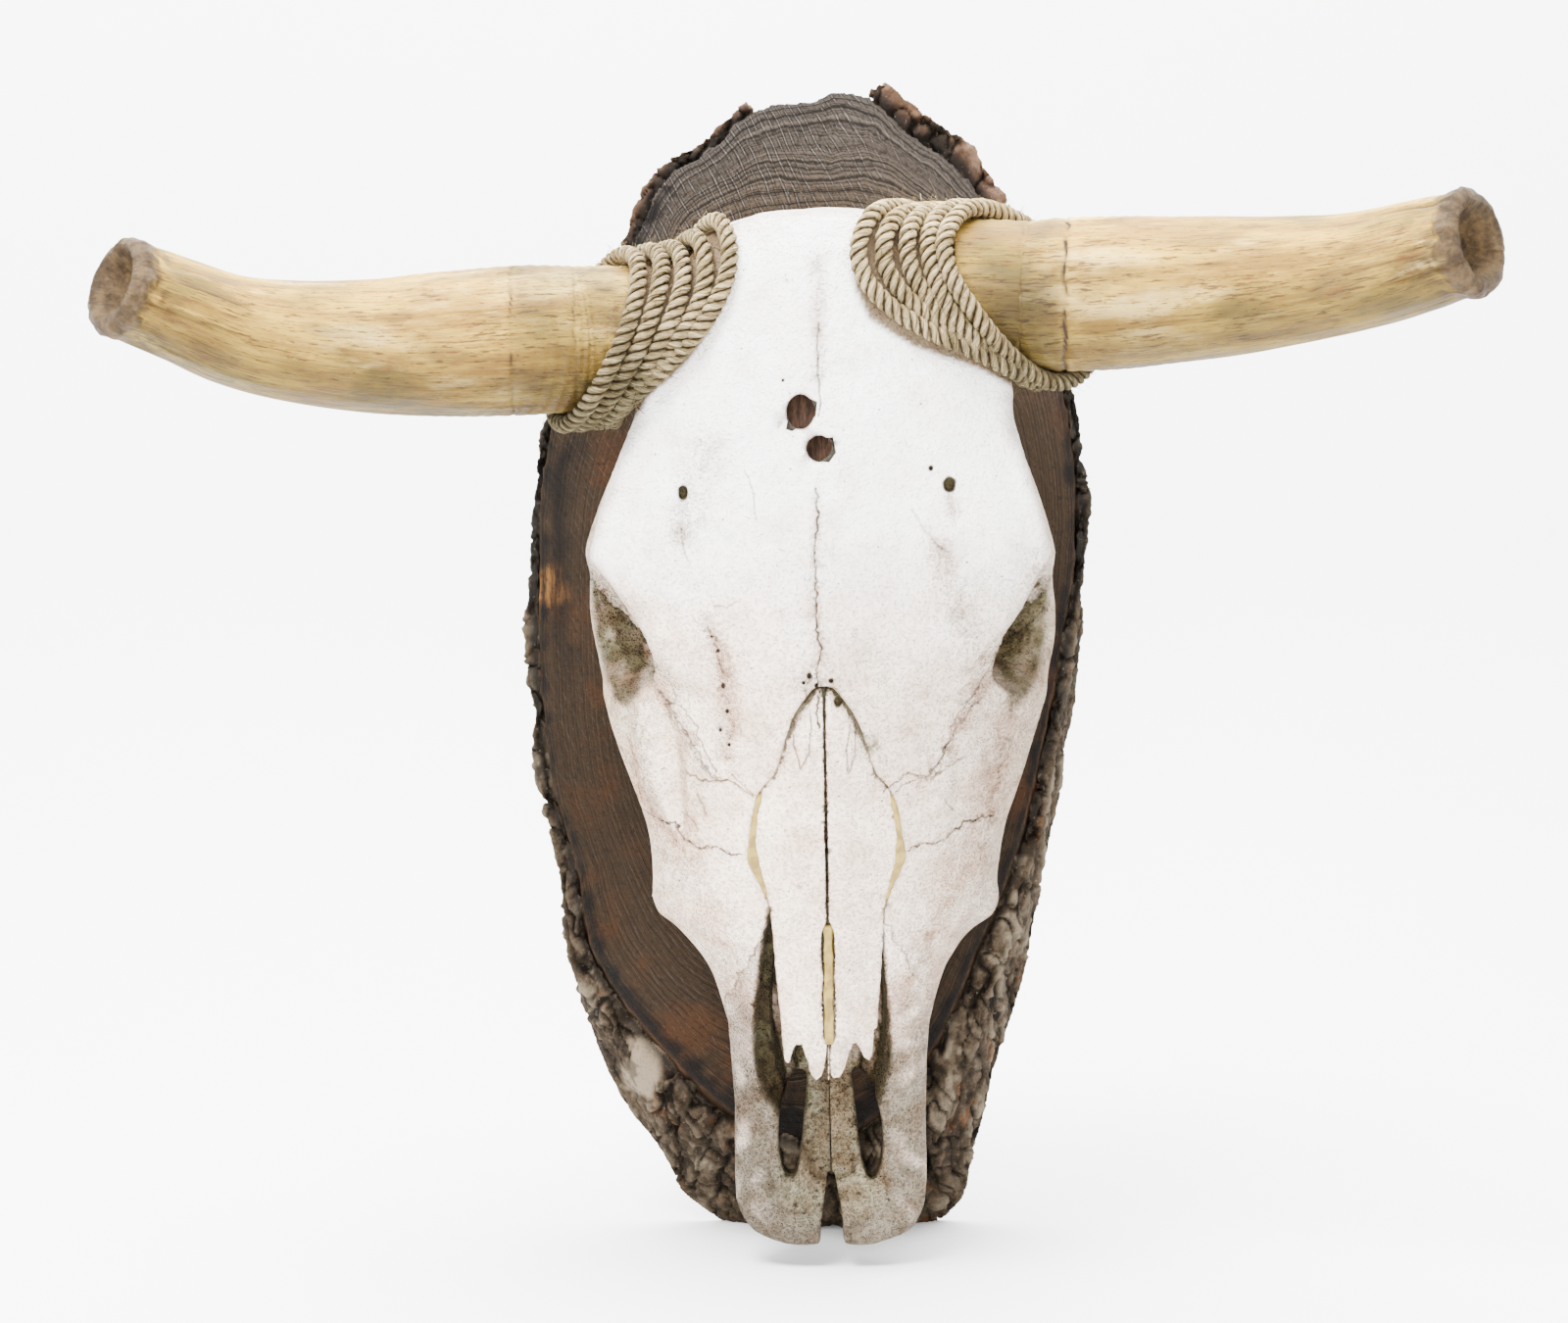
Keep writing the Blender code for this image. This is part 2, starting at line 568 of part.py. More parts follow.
def name_bones(bodies):
    """Give each parted body its bone's name, by where it lies; crumbs are dropped."""
    for body in bodies[5:]:
        bpy.data.objects.remove(body)
    for body in bodies[:5]:
        corners = [vert.co / MM for vert in body.data.vertices]
        x = sum(c.x for c in corners) / len(corners)
        z = sum(c.z for c in corners) / len(corners) + ORIGIN_Z
        hand = "left" if x < drift(z) else "right"
        if z > SUTURE_Z:
            finish(body, "cranium", BONE)
        elif z > MUZZLE_Z:
            finish(body, "maxilla_" + hand, BONE)
        else:
            finish(body, "premaxilla_" + hand, BONE_GREY)


def skull():
    bone = grow_together(join(skull_forms()), BONE_VOXEL, BONE_EASE)
    thin_out(bone, SHAPE_TRIS)
    cut(bone, hollows())
    bone = pieces(bone)[0]
    thin_out(bone, SKULL_TRIS)
    cut(bone, seats() + parting_cutters())
    name_bones(pieces(bone))


def nasal_bone(side):
    """One arched nasal bone with its two-pronged tip."""
    rings = []
    for z, outer, inner in NASAL_EDGE:
        crown = value_at(NASAL_TOP, z)
        top = []
        for k in range(5):
            x = inner + (outer - inner) * k / 4
            top.append((x, crown - NASAL_ARCH * (x / outer) ** 2))
        ring = top + [(x, h - NASAL_THICK) for x, h in reversed(top)]
        rings.append([on_skull(side * x, h, z) for x, h in ring])
    bone = loft("nasal", rings)
    cut(bone, [loft("notch", [[on_skull(side * x, h, z) for x, z in line] for h in (90, 140)])
               for line in (NASAL_NOTCH, NASAL_CORNER)])
    finish(pieces(bone)[0], "nasal_left" if side < 0 else "nasal_right", BONE)


def glue_strip(name, low, high, inner, outer, drop):
    """Bead of clear amber glue along the edge of a nasal bone."""
    rings = []
    for k in range(10):
        z = low + (high - low) * k / 9
        x0, x1 = inner(z), outer(z)
        crown = value_at(NASAL_TOP, z) - drop
        rings.append([on_skull(x, h, z) for x, h in
                      ((x0, crown), (x1, crown - 1.0), (x1, crown - 3.2), (x0, crown - 3.2))])
    finish(loft("glue", rings), name, GLUE, 0.3)


def glue():
    low, high, half = GLUE_MID
    glue_strip("glue_mid", low, high, lambda z: -half, lambda z: half, 0.2)
    for side, hand in ((-1, "left"), (1, "right")):
        glue_strip("glue_" + hand, 224, 283,
                   lambda z, s=side: s * (value_at(NASAL_EDGE, z) + GAP),
                   lambda z, s=side: s * (value_at(NASAL_SEAT, z) - GAP), NASAL_ARCH + 0.2)


# ---- horns and lashings -------------------------------------------------------------------
def horn(name, rows):
    """Horn sheath swept along its bend, ending in the worn cup of its sawn tip."""
    points = [at(x, h, z) for x, h, z, _ in rows]
    radii = [row[3] * MM for row in rows]
    ways = frames(points)
    ahead, last, tip = ways[-1][0], points[-1], radii[-1]
    for reach, share in HORN_END:
        points.append(last + ahead * reach * MM)
        radii.append(tip * share)
        ways.append(ways[-1])
    rings = [ring_round(*row, HORN_SIDES) for row in zip(points, radii, ways)]
    return finish(loft(name, rings), name, HORN, 0.5)


def lash_start(tree, lash, turn):
    """A point of the loose winding: an upright ring whose front and foot lean as the rope's do."""
    first, last = lash
    share = turn / LASH_TURNS
    top, front, foot, z_top, z_foot = (a + (b - a) * share for a, b in zip(first, last))
    angle = 2 * math.pi * (turn - LASH_BEGIN)
    mean = (top + foot) / 2
    x = mean + (top - foot) / 2 * math.cos(angle) + (front - mean) * math.sin(angle)
    z = (z_top + z_foot) / 2 + (z_top - z_foot) / 2 * math.cos(angle)
    spot = at(x, LASH_H + LASH_DEPTH * math.sin(angle), z)
    if math.sin(angle) > 0:
        hit = tree.ray_cast(at(x, 2 * LASH_H, z), Vector((0, 1, 0)))[0]
        if hit:
            spot.y = min(spot.y, hit.y - ROPE_RADIUS * MM)
    return spot


def lift_off(tree, point, clear):
    """The step that brings a point out to its clearance from the bone."""
    spot, normal, _, _ = tree.find_nearest(point)
    return normal * max(0.0, clear - (point - spot).dot(normal))


def span_lift(tree, start, end, clear):
    """The longest such step of the points between two ends."""
    lifts = [lift_off(tree, start.lerp(end, share), clear) for share in ROPE_SPAN]
    return max(lifts, key=lambda step: step.length)


def lash_path(tree, lash):
    """Centre line of the rope, wound round the horn's root: eased, and kept off the bone and itself."""
    count = LASH_TURNS * ROPE_STEPS + 1
    start = [lash_start(tree, lash, k / ROPE_STEPS) for k in range(count)]
    points = list(start)
    off_bone = (ROPE_RADIUS + ROPE_CLEAR) * MM
    off_rope = (2 * ROPE_RADIUS + GAP) * MM
    for step in range(LASH_PASSES):
        eased = [points[0]] + [(points[k - 1] + points[k] * 2 + points[k + 1]) / 4
                               for k in range(1, count - 1)] + [points[-1]]
        loose = step < LASH_PASSES - LASH_LAST
        ease = 0.5 if loose else 0.0
        points = [point.lerp(soft, ease) for point, soft in zip(points, eased)]
        for k in range(count):
            for j in range(k + ROPE_STEPS // 2, min(k + ROPE_STEPS * 3 // 2 + 1, count)):
                apart = points[j] - points[k]
                if 0 < apart.length < off_rope:
                    push = apart.normalized() * (off_rope - apart.length) / 2
                    points[j] = points[j] + push
                    points[k] = points[k] - push
        lifts = [span_lift(tree, points[k], points[k + 1], off_bone) for k in range(count - 1)]
        for k, lift in enumerate(lifts):
            points[k] = points[k] + lift
            points[k + 1] = points[k + 1] + lift
        for k in range(count):
            points[k] = points[k] + lift_off(tree, points[k], off_bone)
            if loose:
                points[k].x += (start[k].x - points[k].x) * LASH_HOLD
    return points


def lashing(name, lash, core):
    """Rope drawn tight round the merged outside of the skull and the horn."""
    copies = [obj.copy() for obj in core]
    for copy in copies:
        bpy.context.scene.collection.objects.link(copy)
    merged = grow_together(join(copies), CORE_VOXEL, 0)
    bm = bmesh.new()
    bm.from_mesh(merged.data)
    bpy.data.objects.remove(merged)
    tree = BVHTree.FromBMesh(bm)
    bm.free()
    points = lash_path(tree, lash)
    obj = sweep(name, points, [ROPE_RADIUS * MM] * len(points), ROPE_SIDES)
    return finish(obj, name, ROPE, 0.9)


# ---- the slab -----------------------------------------------------------------------------
def outline_point(place, out=0.0, depth=0.0):
    """Place along the sawn outline, pushed outwards and back through the slab."""
    count = len(SLAB_OUTLINE)
    first = int(math.floor(place))
    t = place - first
    picks = [SLAB_OUTLINE[(first + k) % count] for k in (-1, 0, 1, 2)]
    x, z = (catmull(t, *(float(p[axis]) for p in picks)) for axis in (0, 1))
    dx, dz = (catmull(t + 0.01, *(float(p[axis]) for p in picks)) for axis in (0, 1))
    along = Vector((dx - x, dz - z)).normalized()
    share = depth / SLAB_THICK
    x = (x - along.y * out) * (1 + (SLAB_TAPER - 1) * share)
    return x + SLAB_RUN[0] * share, z + along.x * out + SLAB_RUN[1] * share


def slab():
    """The sawn wood between its two oblique faces."""
    steps = 2 * len(SLAB_OUTLINE)
    rings = []
    for depth in (0.0, SLAB_THICK):
        ring = []
        for k in range(steps):
            x, z = outline_point(k / 2, 0.0, depth)
            ring.append(at(x, -depth, max(z, FOOT_CUT)))
        rings.append(ring)
    return finish(trim_foot(loft("slab_wood", rings)), "slab_wood", WOOD)


def trim_foot(obj):
    """Saw the foot off level."""
    return cut(obj, [box((-300, -120, -200), (300, 40, FOOT_CUT))])


def bark_strip(name, first, last, thick_first, thick_last):
    """A strip of bark along the slab's edge, fissured and uneven on its outside."""
    count = max(6, int((last - first) * 3.4))
    rings = []
    for k in range(count + 1):
        share = k / count
        place = first + (last - first) * share
        thick = thick_first + (thick_last - thick_first) * share
        ring = [bark_point(place, BARK_GAP, 1.5), bark_point(place, BARK_GAP, SLAB_THICK - 0.6)]
        for depth in (SLAB_THICK - 1.0, 34.0, 18.0, 3.0):
            lump = noise.noise(Vector((place * 2.1, depth * 0.07, thick_first)))
            ring.append(bark_point(place, thick + BARK_ROUGH * lump, depth))
        rings.append(ring)
    return finish(trim_foot(loft(name, rings)), name, BARK, 0.9)


def bark_point(place, out, depth):
    x, z = outline_point(place, out, depth)
    return at(x, -depth, z)


def mounting_block():
    """Wood block on the slab that carries the skull from inside."""
    width, height, middle, reach = BLOCK
    obj = box((-width / 2, GAP, middle - height / 2), (width / 2, reach, middle + height / 2))
    return finish(obj, "mount_block", WOOD)


def build():
    for obj in list(bpy.data.objects):
        bpy.data.objects.remove(obj)
    skull()
    for side in (-1, 1):
        nasal_bone(side)
    glue()
    left = horn("horn_left", HORN_LEFT)
    right = horn("horn_right", HORN_RIGHT)
    cranium = bpy.data.objects["cranium"]
    lashing("rope_left", LASH_LEFT, (cranium, left))
    lashing("rope_right", LASH_RIGHT, (cranium, right))
    slab()
    for strip in BARK_STRIPS:
        bark_strip(*strip)
    mounting_block()


build()
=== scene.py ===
"""Weathered steer skull, its horns lashed with rope, on a live-edge log slab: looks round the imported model.

Lengths are metres unless a name or comment says mm.  A mark on the skull's front is given by its
pixel in the 1600 x 1350 photograph and is laid on the bone along the camera's line of sight.
"""
import math

import bmesh
import bpy
import numpy as np
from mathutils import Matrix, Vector
from mathutils.bvhtree import BVHTree
from mathutils.kdtree import KDTree


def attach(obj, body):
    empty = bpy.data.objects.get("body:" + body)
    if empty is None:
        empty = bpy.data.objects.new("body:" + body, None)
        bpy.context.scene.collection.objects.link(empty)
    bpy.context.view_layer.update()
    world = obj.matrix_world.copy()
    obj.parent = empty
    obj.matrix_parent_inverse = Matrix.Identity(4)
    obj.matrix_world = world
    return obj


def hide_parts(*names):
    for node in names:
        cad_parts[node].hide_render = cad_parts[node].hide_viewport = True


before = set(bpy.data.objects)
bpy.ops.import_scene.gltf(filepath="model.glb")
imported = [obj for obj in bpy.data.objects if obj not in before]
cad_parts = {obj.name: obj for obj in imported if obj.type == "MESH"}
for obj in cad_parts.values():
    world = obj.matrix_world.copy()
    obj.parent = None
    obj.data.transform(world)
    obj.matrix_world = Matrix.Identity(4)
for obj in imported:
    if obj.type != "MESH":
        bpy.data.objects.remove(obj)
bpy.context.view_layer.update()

MM = 0.001
SLAB_THICK = 50.0                 # mm, as are the places below: x, h in front of the slab, z above its foot
FOOT = 300.0                      # mm, height of the frame's origin over the slab's foot
CAMERA_PLACE = Vector((-0.0175, -2.0, 0.21048))
CAMERA_DIP = math.radians(5.0)
FOCAL_PX = 3500.0
MIDDLE_PX = (800.0, 675.0)
SENSOR = 36.0                      # mm
SAME_PLACE = 2e-6                  # closer corners of a CAD solid are one
TINY = 1e-15

BONES = ("cranium", "maxilla_left", "maxilla_right", "premaxilla_left", "premaxilla_right")
NASALS = ("nasal_left", "nasal_right")
GLUES = ("glue_left", "glue_mid", "glue_right")
BARKS = ("bark_top_right", "bark_right", "bark_low_right", "bark_foot", "bark_low_left", "bark_left",
         "bark_top_left")


# ---- smooth random fields -----------------------------------------------------------------
SHUFFLE = np.random.RandomState(11).permutation(256)
SLOPES = np.array([(x, y, z) for x in (-1, 0, 1) for y in (-1, 0, 1) for z in (-1, 0, 1)
                   if abs(x) + abs(y) + abs(z) == 2], float)
CORNERS = [(x, y, z) for x in (0, 1) for y in (0, 1) for z in (0, 1)]


def shuffled(cell, salt):
    """A fixed random number 0..255 for each cell of a grid."""
    a = SHUFFLE[(cell[:, 2] + salt) & 255]
    b = SHUFFLE[(cell[:, 1] + a) & 255]
    return SHUFFLE[(cell[:, 0] + b) & 255]


def cloud(points, size, salt):
    """Smooth random field, about -1 to 1, with lumps of the given size."""
    spot = points / size
    cell = np.floor(spot).astype(int)
    part = spot - cell
    ease = part * part * part * (part * (part * 6 - 15) + 10)
    total = np.zeros(len(points))
    for corner in CORNERS:
        slope = SLOPES[shuffled(cell + corner, salt) % 12]
        share = np.prod(np.where(np.array(corner) == 1, ease, 1 - ease), axis=1)
        total += share * ((part - corner) * slope).sum(1)
    return total


def layers(points, size, count, salt):
    """Several clouds, each half as large and half as strong as the one before."""
    return sum(cloud(points, size / 2 ** k, salt + 17 * k) / 2 ** k for k in range(count))


def smooth(low, high, value):
    """0 below low, 1 above high, eased between."""
    t = np.clip((value - low) / (high - low), 0.0, 1.0)
    return t * t * (3 - 2 * t)


# ---- meshes as arrays ---------------------------------------------------------------------
def read(rows, field, wide=1, kind=np.float32):
    """One field of all the rows of a mesh's data, as an array."""
    flat = np.empty(len(rows) * wide, kind)
    rows.foreach_get(field, flat)
    return flat.reshape(-1, wide) if wide > 1 else flat


def points_of(mesh):
    return read(mesh.vertices, "co", 3).astype(float)


def normals_of(mesh):
    return read(mesh.vertex_normals, "vector", 3).astype(float)


def set_points(mesh, points):
    mesh.vertices.foreach_set("co", points.astype(np.float32).ravel())
    mesh.update()


def push(mesh, steps):
    """Move the points of a mesh, along their normals where a step is one number."""
    if steps.ndim == 1:
        steps = normals_of(mesh) * steps[:, None]
    set_points(mesh, points_of(mesh) + steps)


def put(mesh, name, values):
    """Store a number, a vector or a colour on each point."""
    kinds = {1: ("FLOAT", "value"), 3: ("FLOAT_VECTOR", "vector"), 4: ("FLOAT_COLOR", "color")}
    kind, field = kinds[1 if values.ndim == 1 else values.shape[1]]
    layer = mesh.attributes.get(name) or mesh.attributes.new(name, kind, "POINT")
    layer.data.foreach_set(field, values.astype(np.float32).ravel())


def swell(mesh, by):
    """Move all the points of a mesh outwards by the same distance."""
    push(mesh, np.full(len(mesh.vertices), by))


def object_of(name, points, faces):
    mesh = bpy.data.meshes.new(name)
    mesh.from_pydata(points, [], faces)
    mesh.update()
    return link(name, mesh)


def link(name, data):
    """New object in the scene."""
    obj = bpy.data.objects.new(name, data)
    bpy.context.scene.collection.objects.link(obj)
    return obj


def object_from(name, bm):
    """New object from an editable mesh, which is let go."""
    mesh = bpy.data.meshes.new(name)
    bm.to_mesh(mesh)
    bm.free()
    return link(name, mesh)


def evaluated(obj):
    """Turn the object's modifiers into its mesh."""
    depsgraph = bpy.context.evaluated_depsgraph_get()
    old = obj.data
    mesh = bpy.data.meshes.new_from_object(obj.evaluated_get(depsgraph))
    obj.modifiers.clear()
    obj.data = mesh
    bpy.data.meshes.remove(old)
    return obj


def with_modifier(obj, kind, **settings):
    step = obj.modifiers.new("step", kind)
    for key, value in settings.items():
        setattr(step, key, value)
    return evaluated(obj)


def remeshed(obj, voxel_mm, passes):
    """Even mesh of small squares on the same shape, eased."""
    with_modifier(obj, "REMESH", mode="VOXEL", voxel_size=voxel_mm * MM)
    return with_modifier(obj, "SMOOTH", factor=0.5, iterations=passes)


def merged(node):
    """Points and triangles of a CAD solid, its loose triangles joined."""
    bm = bmesh.new()
    bm.from_mesh(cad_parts[node].data)
    bmesh.ops.remove_doubles(bm, verts=bm.verts, dist=SAME_PLACE)
    bm.verts.index_update()
    points = np.array([vert.co for vert in bm.verts])
    tris = np.array([[vert.index for vert in face.verts] for face in bm.faces])
    bm.free()
    return points, tris


def shared_edges(tris):
    """For each edge, the (triangle, corner opposite) pairs on its sides."""
    edges = {}
    for index, tri in enumerate(tris.tolist()):
        for k in range(3):
            key = (tri[(k + 1) % 3], tri[(k + 2) % 3])
            edges.setdefault((min(key), max(key)), []).append((index, k))
    return edges


def corner_normals(points, tris, crease):
    """Normal at each corner, over the faces joined by soft edges, and which opposite edges are sharp."""
    corners = points[tris]
    ahead = np.roll(corners, -1, axis=1) - corners
    behind = np.roll(corners, 1, axis=1) - corners
    area = np.cross(ahead[:, 0], behind[:, 0])
    unit = area / np.maximum(np.linalg.norm(area, axis=1, keepdims=True), TINY)
    lengths = np.linalg.norm(ahead, axis=2) * np.linalg.norm(behind, axis=2)
    angle = np.arccos(np.clip((ahead * behind).sum(2) / np.maximum(lengths, 1e-18), -1, 1))
    sharp = np.zeros(tris.shape, bool)
    pairs = []
    for (low, high), sides in shared_edges(tris).items():
        faces = [index for index, _ in sides]
        if len(faces) != 2 or unit[faces[0]] @ unit[faces[1]] < crease:
            for index, k in sides:
                sharp[index, k] = True
        else:
            for vert in (low, high):
                pairs.append([3 * f + list(tris[f]).index(vert) for f in faces])
    group = joined(tris.size, np.array(pairs).T)
    total = np.zeros((tris.size, 3))
    np.add.at(total, group, (unit[:, None] * angle[:, :, None]).reshape(-1, 3))
    normals = total[group]
    normals /= np.maximum(np.linalg.norm(normals, axis=1, keepdims=True), TINY)
    return normals.reshape(-1, 3, 3), sharp


def joined(count, pairs):
    """Lowest member of each item's group, given pairs of items that belong together."""
    label = np.arange(count)
    while True:
        low = np.minimum(label[pairs[0]], label[pairs[1]])
        new = label.copy()
        np.minimum.at(new, pairs[0], low)
        np.minimum.at(new, pairs[1], low)
        new = new[new]
        if (new == label).all():
            return label
        label = new


CUTS = 4                           # parts into which each edge of a CAD triangle is cut
BULGE = 0.75                       # 0 keeps the triangles flat, 1 curves them fully
EDGE_PULL = 0.6                    # how far into a triangle a sharp edge keeps it flat
SAME_CORNER = 1e-5                 # closer corners of the finer triangles are one


def rounded(name, nodes, crease=0.77):
    """Curved, finer copy of faceted CAD solids; edges sharper than the crease stay straight."""
    grid = [(i, j, CUTS - i - j) for i in range(CUTS + 1) for j in range(CUTS + 1 - i)]
    slots = {key[:2]: n for n, key in enumerate(grid)}
    small = []
    for i, j, k in grid:
        if k > 0:
            small.append((slots[i, j], slots[i + 1, j], slots[i, j + 1]))
        if k > 1:
            small.append((slots[i + 1, j], slots[i + 1, j + 1], slots[i, j + 1]))
    weights = np.array(grid, float) / CUTS
    bm = bmesh.new()
    for node in nodes:
        points, tris = merged(node)
        normals, sharp = corner_normals(points, tris, crease)
        corners = points[tris]
        flat = np.einsum("wk,fkc->fwc", weights, corners)
        soft = np.zeros_like(flat)
        for k in range(3):
            rise = ((flat - corners[:, None, k]) * normals[:, None, k]).sum(2, keepdims=True)
            soft += weights[None, :, k, None] * (flat - rise * normals[:, None, k])
        hold = np.ones(flat.shape[:2])
        for k in range(3):
            own, rest = weights[:, k], weights[:, (k + 1) % 3] * weights[:, (k + 2) % 3]
            hold *= np.where(sharp[:, None, k], own / (own + EDGE_PULL * rest + 1e-9), 1.0)
        curved = flat + (soft - flat) * (BULGE * hold)[:, :, None]
        faces = (np.array(small)[None] + np.arange(len(tris))[:, None, None] * len(grid)).reshape(-1, 3)
        mesh = bpy.data.meshes.new("curved")
        mesh.from_pydata(curved.reshape(-1, 3).tolist(), [], faces.tolist())
        bm.from_mesh(mesh)
        bpy.data.meshes.remove(mesh)
    bmesh.ops.remove_doubles(bm, verts=bm.verts, dist=SAME_CORNER)
    return object_from(name, bm)


def refined(obj, wanted, times=1):
    """Split the squares whose points are all wanted."""
    for _ in range(times):
        flags = wanted(points_of(obj.data))
        bm = bmesh.new()
        bm.from_mesh(obj.data)
        edges = [e for e in bm.edges if flags[e.verts[0].index] and flags[e.verts[1].index]]
        bmesh.ops.subdivide_edges(bm, edges=edges, cuts=1, use_grid_fill=True)
        bmesh.ops.triangulate(bm, faces=[face for face in bm.faces if len(face.verts) > 4])
        bm.to_mesh(obj.data)
        bm.free()
    return obj


def tree_of(objects):
    """Search tree over the surfaces of several objects."""
    verts, faces = [], []
    for obj in objects:
        start = len(verts)
        verts.extend(obj.data.vertices[k].co.copy() for k in range(len(obj.data.vertices)))
        faces.extend([start + v for v in face.vertices] for face in obj.data.polygons)
    return BVHTree.FromPolygons(verts, faces)


# ---- places -------------------------------------------------------------------------------
def at(x, h, z):
    """Place in mm: across, in front of the slab's face, above its foot."""
    return Vector((x, -(SLAB_THICK + h), z - FOOT)) * MM


def heights(points):
    """Heights above the slab's foot in mm."""
    return points[:, 2] / MM + FOOT


def drift(z):
    """Sideways lean of the face in mm: nothing above the eyes, all of it at the nose."""
    return 2.0 + 7.5 * min(1.0, max(0.0, (400.0 - z) / 370.0))


def sight(px, py):
    """Direction in which a pixel of the photograph is seen."""
    across = (px - MIDDLE_PX[0]) / FOCAL_PX
    up = (MIDDLE_PX[1] - py) / FOCAL_PX
    dip_sin, dip_cos = math.sin(CAMERA_DIP), math.cos(CAMERA_DIP)
    return Vector((across, dip_cos + up * dip_sin, up * dip_cos - dip_sin)).normalized()


def laid(pixels, tree):
    """Places on a surface that the pixels show."""
    spots = []
    for px, py in pixels:
        hit = tree.ray_cast(CAMERA_PLACE, sight(px, py))[0]
        if hit:
            spots.append(np.array(hit))
    return np.array(spots)


def seen_at(points):
    """Pixel of the photograph at which each point is seen."""
    away = points - np.array(CAMERA_PLACE)
    dip_sin, dip_cos = math.sin(CAMERA_DIP), math.cos(CAMERA_DIP)
    deep = away[:, 1] * dip_cos - away[:, 2] * dip_sin
    up = away[:, 1] * dip_sin + away[:, 2] * dip_cos
    return MIDDLE_PX[0] + FOCAL_PX * away[:, 0] / deep, MIDDLE_PX[1] - FOCAL_PX * up / deep


def within(px, py, corners, soft):
    """1 inside an outline of pixels, 0 outside, eased over a band of soft pixels about its edge."""
    inside = np.zeros(len(px), bool)
    apart = np.full(len(px), 1e9)
    for (ax, ay), (bx, by) in zip(corners, corners[1:] + corners[:1]):
        wide, tall = bx - ax, by - ay
        inside ^= ((ay > py) != (by > py)) & (px < wide * (py - ay) / (tall + 1e-9) + ax)
        t = np.clip(((px - ax) * wide + (py - ay) * tall) / (wide ** 2 + tall ** 2), 0, 1)
        apart = np.minimum(apart, np.hypot(px - ax - t * wide, py - ay - t * tall))
    return smooth(-soft, soft, np.where(inside, apart, -apart))


DEPTH_SHARE = 0.25                 # how much depth counts in the distance from a mark


def from_line(points, line):
    """Distance of each point from a mark's line."""
    flat = np.array((1.0, DEPTH_SHARE, 1.0))
    points, line = points * flat, line * flat
    best = np.full(len(points), 1.0)
    if len(line) == 1:
        return np.linalg.norm(points - line[0], axis=1)
    for a, b in zip(line, line[1:]):
        step = b - a
        t = np.clip(((points - a) @ step) / max(step @ step, 1e-12), 0, 1)
        best = np.minimum(best, np.linalg.norm(points - a - t[:, None] * step, axis=1))
    return best


# ---- node trees ---------------------------------------------------------------------------
class Nodes:
    """Adds nodes to a tree and joins them; a source is a socket, a node's first output or a plain value."""

    def __init__(self, tree):
        self.tree = tree

    def feed(self, socket, source):
        if isinstance(source, bpy.types.Node):
            source = next(out for out in source.outputs if out.enabled)
        if isinstance(source, bpy.types.NodeSocket):
            self.tree.links.new(source, socket)
        else:
            socket.default_value = source

    def add(self, kind, inputs=None, **settings):
        node = self.tree.nodes.new(kind)
        for key, value in settings.items():
            setattr(node, key, value)
        for key, source in (inputs or {}).items():
            self.feed(node.inputs[key], source)
        return node


NO_TURN = (0.0, 0.0, 0.0)


class Paint(Nodes):
    """A procedural material being built up."""

    def __init__(self, name, roughness, specular):
        self.material = bpy.data.materials.new(name)
        self.material.use_nodes = True
        super().__init__(self.material.node_tree)
        self.shader = self.tree.nodes["Principled BSDF"]
        self.shader.inputs["Roughness"].default_value = roughness
        self.shader.inputs["Specular IOR Level"].default_value = specular
        self.place = self.add("ShaderNodeTexCoord").outputs["Object"]
        self.tone = None
        self.normal = None

    def attribute(self, name, out="Fac"):
        return self.add("ShaderNodeAttribute", attribute_name=name).outputs[out]

    def noise(self, size, detail=3.0, rough=0.55, source=None, warp=0.0):
        return self.add("ShaderNodeTexNoise", {"Vector": source or self.place, "Scale": 1.0 / size,
                                               "Detail": detail, "Roughness": rough, "Distortion": warp})

    def streaks(self, size, detail, rough, squeeze, source=None, turn=NO_TURN, warp=0.0):
        """Noise drawn out along the third axis, which the squeeze shortens before the noise is read."""
        place = self.add("ShaderNodeMapping", {"Vector": source or self.place, "Scale": (1.0, 1.0, squeeze),
                                               "Rotation": turn})
        return self.noise(size, detail, rough, place, warp)

    def specks(self, size):
        return self.add("ShaderNodeTexVoronoi", {"Vector": self.place, "Scale": 1.0 / size}, feature="F1")

    def span(self, source, low, high, a=0.0, b=1.0):
        """Eased step of the source from low to high."""
        return self.add("ShaderNodeMapRange", {"Value": source, "From Min": low, "From Max": high,
                                               "To Min": a, "To Max": b}, interpolation_type="SMOOTHSTEP")

    def sum(self, operation, a, b):
        return self.add("ShaderNodeMath", {0: a, 1: b}, operation=operation)

    def mix(self, share, a, b, blend="MIX"):
        node = self.add("ShaderNodeMix", data_type="RGBA", blend_type=blend)
        for index, source in ((0, share), (6, a), (7, b)):
            if isinstance(source, tuple):
                source = (*source, 1.0)
            self.feed(node.inputs[index], source)
        return node.outputs[2]

    def cover(self, share, colour, blend="MIX"):
        """Lay a colour over the tone, by share."""
        self.tone = self.mix(share, self.tone, colour, blend)

    def coat(self, source, low, high, colour, most=1.0, blend="MIX"):
        """Lay a colour over the tone, from nothing where the source is low to most where it is high."""
        self.cover(self.span(source, low, high, 0.0, most), colour, blend)

    def both(self, a, b):
        return self.sum("MULTIPLY", a, b)

    def rough(self, source):
        self.feed(self.shader.inputs["Roughness"], source)

    def relief(self, height, depth, strength=1.0):
        """Raise the surface by depth (m) where the height is 1."""
        inputs = {"Height": height, "Distance": depth, "Strength": strength}
        if self.normal:
            inputs["Normal"] = self.normal
        self.normal = self.add("ShaderNodeBump", inputs).outputs[0]

    def finished(self):
        """Join the tone and the relief to the shader."""
        self.feed(self.shader.inputs["Base Color"], self.tone)
        if self.normal:
            self.feed(self.shader.inputs["Normal"], self.normal)
        return self.material


